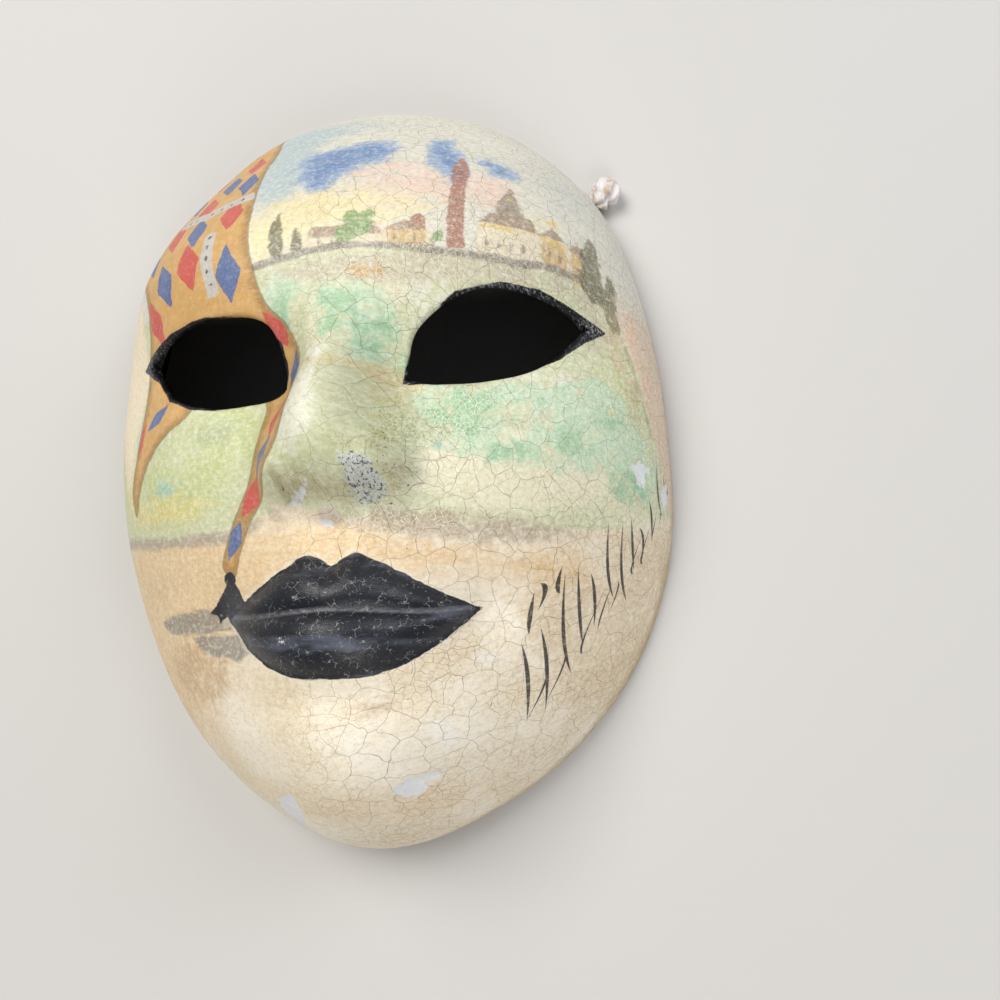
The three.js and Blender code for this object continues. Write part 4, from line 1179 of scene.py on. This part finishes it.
noises = {
    "blot": noise(5.5, 4.0, 0.65),
    "streak": noise(3.2, 3.0, 0.6, (0.35, 1.3, 0.6)),
    "grain": noise(1.7, 3.0, 0.65),
    "fibre": noise(0.9, 3.0, 0.75, (0.6, 1.0, 1.0)),
    "broad": noise(24, 2.0),
}


def mottled(kind, weight, middle, fibres):
    """noise * weight + middle + fibre * fibres, kept within 0 .. 1."""
    large = node(tree, "Math", {0: noises[kind], 1: weight, 2: middle}, operation="MULTIPLY_ADD")
    return node(tree, "Math", {0: noises["fibre"], 1: fibres, 2: large}, operation="MULTIPLY_ADD",
        use_clamp=True)


mottle = mottled("blot", 0.45, 0.5, 0.5)
warmth = mottled("broad", 0.8, 0.45, 0.35)


def coat(below, field, light, dark, start, full, kind, wobble, strength):
    """One coat over what is below, and its share. That is a smooth step of depth + wobble * noise,
    or for a soft patch of patch * (1 + wobble * noise), so nothing is left where a patch ends."""
    depth = node(tree, "Attribute", attribute_name=field, out="Fac")
    rest = 1.0 if field in PATCHES else depth
    moved = node(tree, "Math", {0: noises[kind], 1: wobble, 2: rest}, operation="MULTIPLY_ADD")
    if field in PATCHES:
        moved = node(tree, "Math", {0: moved, 1: depth}, operation="MULTIPLY")
    share = node(tree, "MapRange", {0: moved, 1: start, 2: full, 4: strength},
        interpolation_type="SMOOTHSTEP")
    return lay(below, lay(linear(light), dark, mottle), share), share


colour = lay(linear(GROUND_LIGHT), GROUND_DARK, warmth)
for row in COATS:
    colour, share = coat(colour, *row)
print("nodes so far:", len(tree.nodes))

# %% [markdown]
# Two rows of pen strokes climb the cheek, one broad and one fine, and three short strokes stand
# above them. They are no letters. Each is a slanted stroke with tapered ends, whose length, bend and
# shift along its own way come from its number in the row.

# %% Ink strokes, worked out along and across the row
# start, heading of the row, heading of a stroke, distance, how many, reach at the start and the end,
# half width, all in mm and degrees
STROKE_ROWS = [
    ((43.0, -78.0), 45, 96, 7.2, 12, 22.0, 8.5, 0.6),
    ((46.0, -82.0), 45, 70, 8.8, 10, 14.0, 6.0, 0.32),
    ((43.5, -53.0), 38, 84, 5.0, 3, 8.0, 6.0, 0.7),
]
# Least and most of a stroke's length and of its shift, as shares of its reach, and its bend in mm
STROKE_SPANS = [(0.5, 1.0), (-0.35, 0.45)]
BEND = 2.4
SOFT_MM = 0.1
SEED = 7.0
INK = "#26262A"


def strokes(start, heading, lean, step, count, reach, reach_end, half_width):
    """With the row's way e and the stroke's way s, a point is start + a e + b s. The whole part of
    a / step is a stroke's number and the rest is how far beside its middle the point is."""
    e = np.array([np.cos(np.radians(heading)), np.sin(np.radians(heading))])
    s = np.array([np.cos(np.radians(lean)), np.sin(np.radians(lean))])
    cross = e[0] * s[1] - e[1] * s[0]
    off = node(tree, "VectorMath", {0: place, 1: (*start, 0)}, operation="SUBTRACT")
    a, b = [node(tree, "VectorMath", {0: off, 1: (*way, 0)}, out=1, operation="DOT_PRODUCT")
        for way in ((s[1] / cross, -s[0] / cross), (-e[1] / cross, e[0] / cross))]
    turns = node(tree, "Math", {0: a, 1: step}, operation="DIVIDE")
    number = node(tree, "Math", {0: turns}, operation="FLOOR")
    seed = node(tree, "Math", {0: number, 1: SEED + heading}, operation="ADD")
    luck = node(tree, "TexWhiteNoise", {"W": seed}, out="Color", noise_dimensions="1D")
    luck = node(tree, "SeparateXYZ", {0: luck}).node.outputs
    size = node(tree, "MapRange", {0: number, 1: 0.0, 2: float(count - 1), 3: reach, 4: reach_end})
    spans = [node(tree, "MapRange", {0: luck[i], 3: least, 4: most})
        for i, (least, most) in enumerate(STROKE_SPANS)]
    long, middle = [node(tree, "Math", {0: size, 1: span}, operation="MULTIPLY") for span in spans]
    away = node(tree, "Math", {0: b, 1: middle}, operation="SUBTRACT")
    q = node(tree, "Math", {0: away, 1: long}, operation="DIVIDE")
    q2 = node(tree, "Math", {0: q, 1: q}, operation="MULTIPLY")
    bend = node(tree, "MapRange", {0: luck[2], 3: -BEND, 4: BEND})
    bent = node(tree, "Math", {0: q2, 1: bend}, operation="MULTIPLY")
    beside = node(tree, "Math", {0: turns, 1: number}, operation="SUBTRACT")
    beside = node(tree, "Math", {0: beside, 1: 0.5}, operation="SUBTRACT")
    beside = node(tree, "Math", {0: beside, 1: step * cross, 2: bent}, operation="MULTIPLY_ADD")
    beside = node(tree, "Math", {0: beside}, operation="ABSOLUTE")
    taper = node(tree, "MapRange", {0: q2, 1: 1.0, 2: 0.0, 3: -SOFT_MM, 4: half_width})
    edge = node(tree, "Math", {0: taper, 1: beside}, operation="SUBTRACT")
    inked = node(tree, "MapRange", {0: edge, 1: -SOFT_MM, 2: SOFT_MM})
    for limit, test in ((-0.5, "GREATER_THAN"), (count - 0.5, "LESS_THAN")):
        within = node(tree, "Math", {0: number, 1: limit}, operation=test)
        inked = node(tree, "Math", {0: inked, 1: within}, operation="MULTIPLY")
    return inked


# %% [markdown]
# Four thin layers take the evenness out of the paint: dry fibres that catch the light, dry brush
# marks, dull grime and thin spots. The two pale ones hardly touch the cloth, whose paint is thicker.

# %% Thin layers, then the ink
# noise, where it starts, where it is full, strength, colour, and whether it spares the cloth
THIN_LAYERS = [
    ("fibre", 0.0, 0.6, 0.36, "#FAF8F3", True),
    ("grain", 0.02, 0.5, 0.34, "#F0EDE1", True),
    ("fibre", -0.05, -0.6, 0.28, "#8C7B5E", False),
    ("grain", -0.05, -0.5, 0.2, "#AD9C80", False),
]
LEFT_ON_CLOTH = 0.35

cloth = node(tree, "Attribute", attribute_name="cloth", out="Fac")
off_cloth = node(tree, "MapRange", {0: cloth, 1: -0.9, 2: -0.4, 3: 1.0, 4: LEFT_ON_CLOTH})
for kind, start, full, strength, paint, spares_cloth in THIN_LAYERS:
    share = node(tree, "MapRange", {0: noises[kind], 1: start, 2: full, 4: strength})
    colour = lay(colour, paint, share, off_cloth) if spares_cloth else lay(colour, paint, share)

ink = strokes(*STROKE_ROWS[0])
for row in STROKE_ROWS[1:]:
    ink = node(tree, "Math", {0: ink, 1: strokes(*row)}, operation="MAXIMUM")
faded = node(tree, "MapRange", {0: mottle, 1: 1.0, 2: 0.5, 3: 0.55, 4: 0.95})
colour = lay(colour, INK, ink, faded)
print("nodes with the ink:", len(tree.nodes))

# %% [markdown]
# The varnish has cracked. On the brow, the cheek and the chin the cracks are dark hairlines with dirt
# in them, in cells of about 6 mm with finer ones between. Where the paint is thick they show light,
# in cells of little more than 1 mm. The side with the cloth has hardly any.

# %% Cracks in the varnish
# Cell, width of a line and how far noise bends it, in mm
LONG_CRACKS, SHORT_CRACKS = (6.2, 0.11, 1.0), (2.5, 0.08, 0.45)
LIGHT_CRACKS, BLACK_CRACKS = (1.25, 0.1, 0.3), (1.9, 0.11, 0.9)
DIRT, CRACK_LIGHT, CRACK_GREY = "#6A5A44", "#E9E4CC", "#B9B6B0"

dark_share = node(tree, "Attribute", attribute_name="dark_net", out="Fac")
patchy = node(tree, "MapRange", {0: noises["broad"], 1: -0.35, 2: 0.3})
long_cracks = net(*LONG_CRACKS)
short_cracks = node(tree, "Math", {0: net(*SHORT_CRACKS), 1: patchy}, operation="MULTIPLY")
cracks = node(tree, "Math", {0: long_cracks, 1: short_cracks}, operation="MAXIMUM")
colour = lay(colour, DIRT, cracks, dark_share, 0.74)

light_share = node(tree, "Attribute", attribute_name="white_net", out="Fac")
torn = node(tree, "MapRange", {0: noises["blot"], 1: -0.45, 2: 0.1})
colour = lay(colour, CRACK_LIGHT, net(*LIGHT_CRACKS), light_share, torn, 0.85)
print("cells of the cracks, mm:", LONG_CRACKS[0], SHORT_CRACKS[0], LIGHT_CRACKS[0])

# %% [markdown]
# The black of the lips and lids goes on last, and wears first. A painted bluish highlight lies on top
# of the lips, a grey line runs along the mouth line, and the black is rubbed grey in its own cracks and
# at the edges of the lids. Then come dark specks round the nose, the chips with their white gesso, a pitted
# spot beside the nose, and the brown worn rim.

# %% Blacks, a painted highlight on the lips, wear, chips and dirt
LIP_PAINTED_HIGHLIGHT, MOUTH_GREY, LID_GREY = "#7A8092", "#A9A7AA", "#A5A8B0"
SPECK, PIT, RIM_BROWN = "#2A241F", "#262320", "#A98A50"


def worn(field, grain, weight, start, full, strength):
    """The strength times how far noise * weight + field has come from the start to the full."""
    value = node(tree, "Attribute", attribute_name=field, out="Fac")
    value = node(tree, "Math", {0: grain, 1: weight, 2: value}, operation="MULTIPLY_ADD")
    return node(tree, "MapRange", {0: value, 1: start, 2: full, 4: strength})


black = None
for row in BLACK_COATS:
    colour, share = coat(colour, *row)
    black = share if black is None else node(tree, "Math", {0: black, 1: share}, operation="MAXIMUM")
# A painted bluish highlight on top of the lips
colour = lay(colour, LIP_PAINTED_HIGHLIGHT, worn("lip_painted_highlight", noises["streak"], 0.7, 0.3, 1.1, 0.42), black)
line = node(tree, "Attribute", attribute_name="mouth_line", out="Fac")
line = node(tree, "MapRange", {0: line, 1: 0.75, 2: 0.1, 4: 0.6})
colour = lay(colour, MOUTH_GREY, line, black, mottle)
frayed = node(tree, "MapRange", {0: noise(2.6, 3.0, 0.6), 1: 0.02, 2: 0.3})
colour = lay(colour, CRACK_GREY, net(*BLACK_CRACKS), frayed, black, 0.55)
colour = lay(colour, LID_GREY, worn("lid_wear", noise(0.8, 3.0, 0.7), 2.222, 1.0, 1.667, 0.7), black)

specks = node(tree, "MapRange", {0: noise(1.2, 2.0, 0.8), 1: 0.44, 2: 0.58})
colour = lay(colour, SPECK, specks, worn("specks", noises["blot"], 1.2, 0.55, 0.8, 0.8))
colour, chipped = coat(colour, "chips", "#E9EAEC", "#D3D5DB", -0.35, 0.3, "grain", 1.3, 0.92)
colour, pitted = coat(colour, "pitted", "#E0E3DD", "#ABB1AB", -0.4, 0.5, "grain", 2.0, 0.95)
pits = node(tree, "MapRange", {0: noise(0.75, 2.0, 0.8), 1: 0.1, 2: 0.3, 4: 0.9})
colour = lay(colour, PIT, pits, pitted)
colour = lay(colour, RIM_BROWN, worn("edge", noises["blot"], 0.008, 0.978, 0.998, 0.7))
tree.links.new(colour, shader.inputs["Base Color"])
print("nodes:", len(tree.nodes))

# %% [markdown]
# The varnish is a satin one. The black paint shines a little more, and bare gesso is matt. A smooth
# but uneven finish makes the wide, soft lights on the forehead and the chin, and painted highlights in the
# colour add to them.

# %% Gloss and fine relief
PAINT_ROUGH, BLACK_ROUGH, GESSO_ROUGH = 0.44, 0.34, 0.8
MOTTLE_ROUGH = 0.12

rough = node(tree, "Mix", {0: black, 2: PAINT_ROUGH, 3: BLACK_ROUGH})
rough = node(tree, "Mix", {0: chipped, 2: rough, 3: GESSO_ROUGH})
rough = node(tree, "Math", {0: mottle, 1: MOTTLE_ROUGH, 2: rough}, operation="MULTIPLY_ADD")
tree.links.new(rough, shader.inputs["Roughness"])
sunk = node(tree, "Math", {0: long_cracks, 1: -0.6, 2: noises["fibre"]}, operation="MULTIPLY_ADD")
bump = node(tree, "Bump", {"Strength": 0.5, "Distance": 0.00009, "Height": sunk})
tree.links.new(bump, shader.inputs["Normal"])
print("roughness of paint, black and gesso:", PAINT_ROUGH, BLACK_ROUGH, GESSO_ROUGH)

# %% The inside: bare papier-mache, brushed with matt black paint
PULP_PER_M = 260.0
LINING_DARK, LINING_LIGHT = "#0C0C0E", "#1D1C1C"

inside_black, tree_in, shader_in = new_material("matt_black_lining", Roughness=0.75)
at = node(tree_in, "TexCoord", out="Object")
pulp = node(tree_in, "TexNoise", {"Vector": at, "Scale": PULP_PER_M, "Detail": 4.0})
dark = node(tree_in, "Mix", {0: pulp, 6: linear(LINING_DARK), 7: linear(LINING_LIGHT)}, out=2,
    data_type="RGBA")
tree_in.links.new(dark, shader_in.inputs["Base Color"])
bump_in = node(tree_in, "Bump", {"Strength": 0.4, "Distance": 0.0003, "Height": pulp})
tree_in.links.new(bump_in, shader_in.inputs["Normal"])

# %% Make the shell and give each vertex its paint
mask = make_piece("painted_shell", shell_points, shell_faces, [painted, inside_black], is_inside)
fields = paint_fields(shell_points[:, 0], shell_points[:, 1])
spread = mask.data.attributes.new("spread", "FLOAT_VECTOR", "POINT")
spread.data.foreach_set("vector", spread_out(shell_points[:, 0], shell_points[:, 1]).ravel())
for name, values in fields.items():
    layer = mask.data.attributes.new(name, "FLOAT", "POINT")
    layer.data.foreach_set("value", values.astype(np.float32))
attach(mask, "root")
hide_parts("mask_shell")
print("paint fields:", len(fields))

# %% [markdown]
# ## Table and light
#
# The mask lies on a plain pale table. The light is broad and soft and comes from the upper left, as
# from a window, with weaker lamps from the other side and low from the front. The low one lights the
# chin and the underside of the lips. A small hard lamp would give sharper lights on the varnish, but
# the real ones are wide and faint. The room adds only a little, so the eye openings stay black.

# %% Table
TABLE_HALF_M = 1.5

table_top, _, shader_t = new_material("matt_table_board", Roughness=0.8)
shader_t.inputs["Base Color"].default_value = linear("#CBC9C6")
corners = [(x * TABLE_HALF_M, y * TABLE_HALF_M, 0) for x, y in ((-1, -1), (1, -1), (1, 1), (-1, 1))]
board = bpy.data.meshes.new("table")
board.from_pydata(corners, [], [(0, 1, 2, 3)])
board.materials.append(table_top)
table = bpy.data.objects.new("table", board)
bpy.context.scene.collection.objects.link(table)
print("table, m across:", 2 * TABLE_HALF_M)

# %% Lamps
# place in m, size in m, power in W, colour
LAMPS = [
    ((-0.40, 0.42, 1.00), 0.7, 12.0, "#FFFDF8"),
    ((0.85, 0.50, 0.80), 0.7, 6.8, "#F6F8FF"),
    ((0.20, -0.90, 0.65), 0.5, 4.6, "#FFFDFA"),
]
AIM = (0.0, 0.0, 0.03)
ROOM_COLOUR, ROOM_STRENGTH = "#EEF1F6", 0.12

for index, (spot, size, power, tint) in enumerate(LAMPS):
    light = bpy.data.lights.new(f"lamp_{index}", "AREA")
    light.size = size
    light.energy = power
    light.color = linear(tint)[:3]
    lamp = bpy.data.objects.new(f"lamp_{index}", light)
    lamp.location = spot
    x, y, z = np.subtract(spot, AIM)
    lamp.rotation_euler = (float(np.arctan2(np.hypot(x, y), z)), 0.0, float(np.arctan2(x, -y)))
    bpy.context.scene.collection.objects.link(lamp)

world = bpy.data.worlds.new("room")
world.use_nodes = True
room = world.node_tree.nodes["Background"].inputs
room["Color"].default_value = linear(ROOM_COLOUR)
room["Strength"].default_value = ROOM_STRENGTH
bpy.context.scene.world = world
bpy.context.scene.view_settings.view_transform = "Standard"
print("lamps:", len(LAMPS))
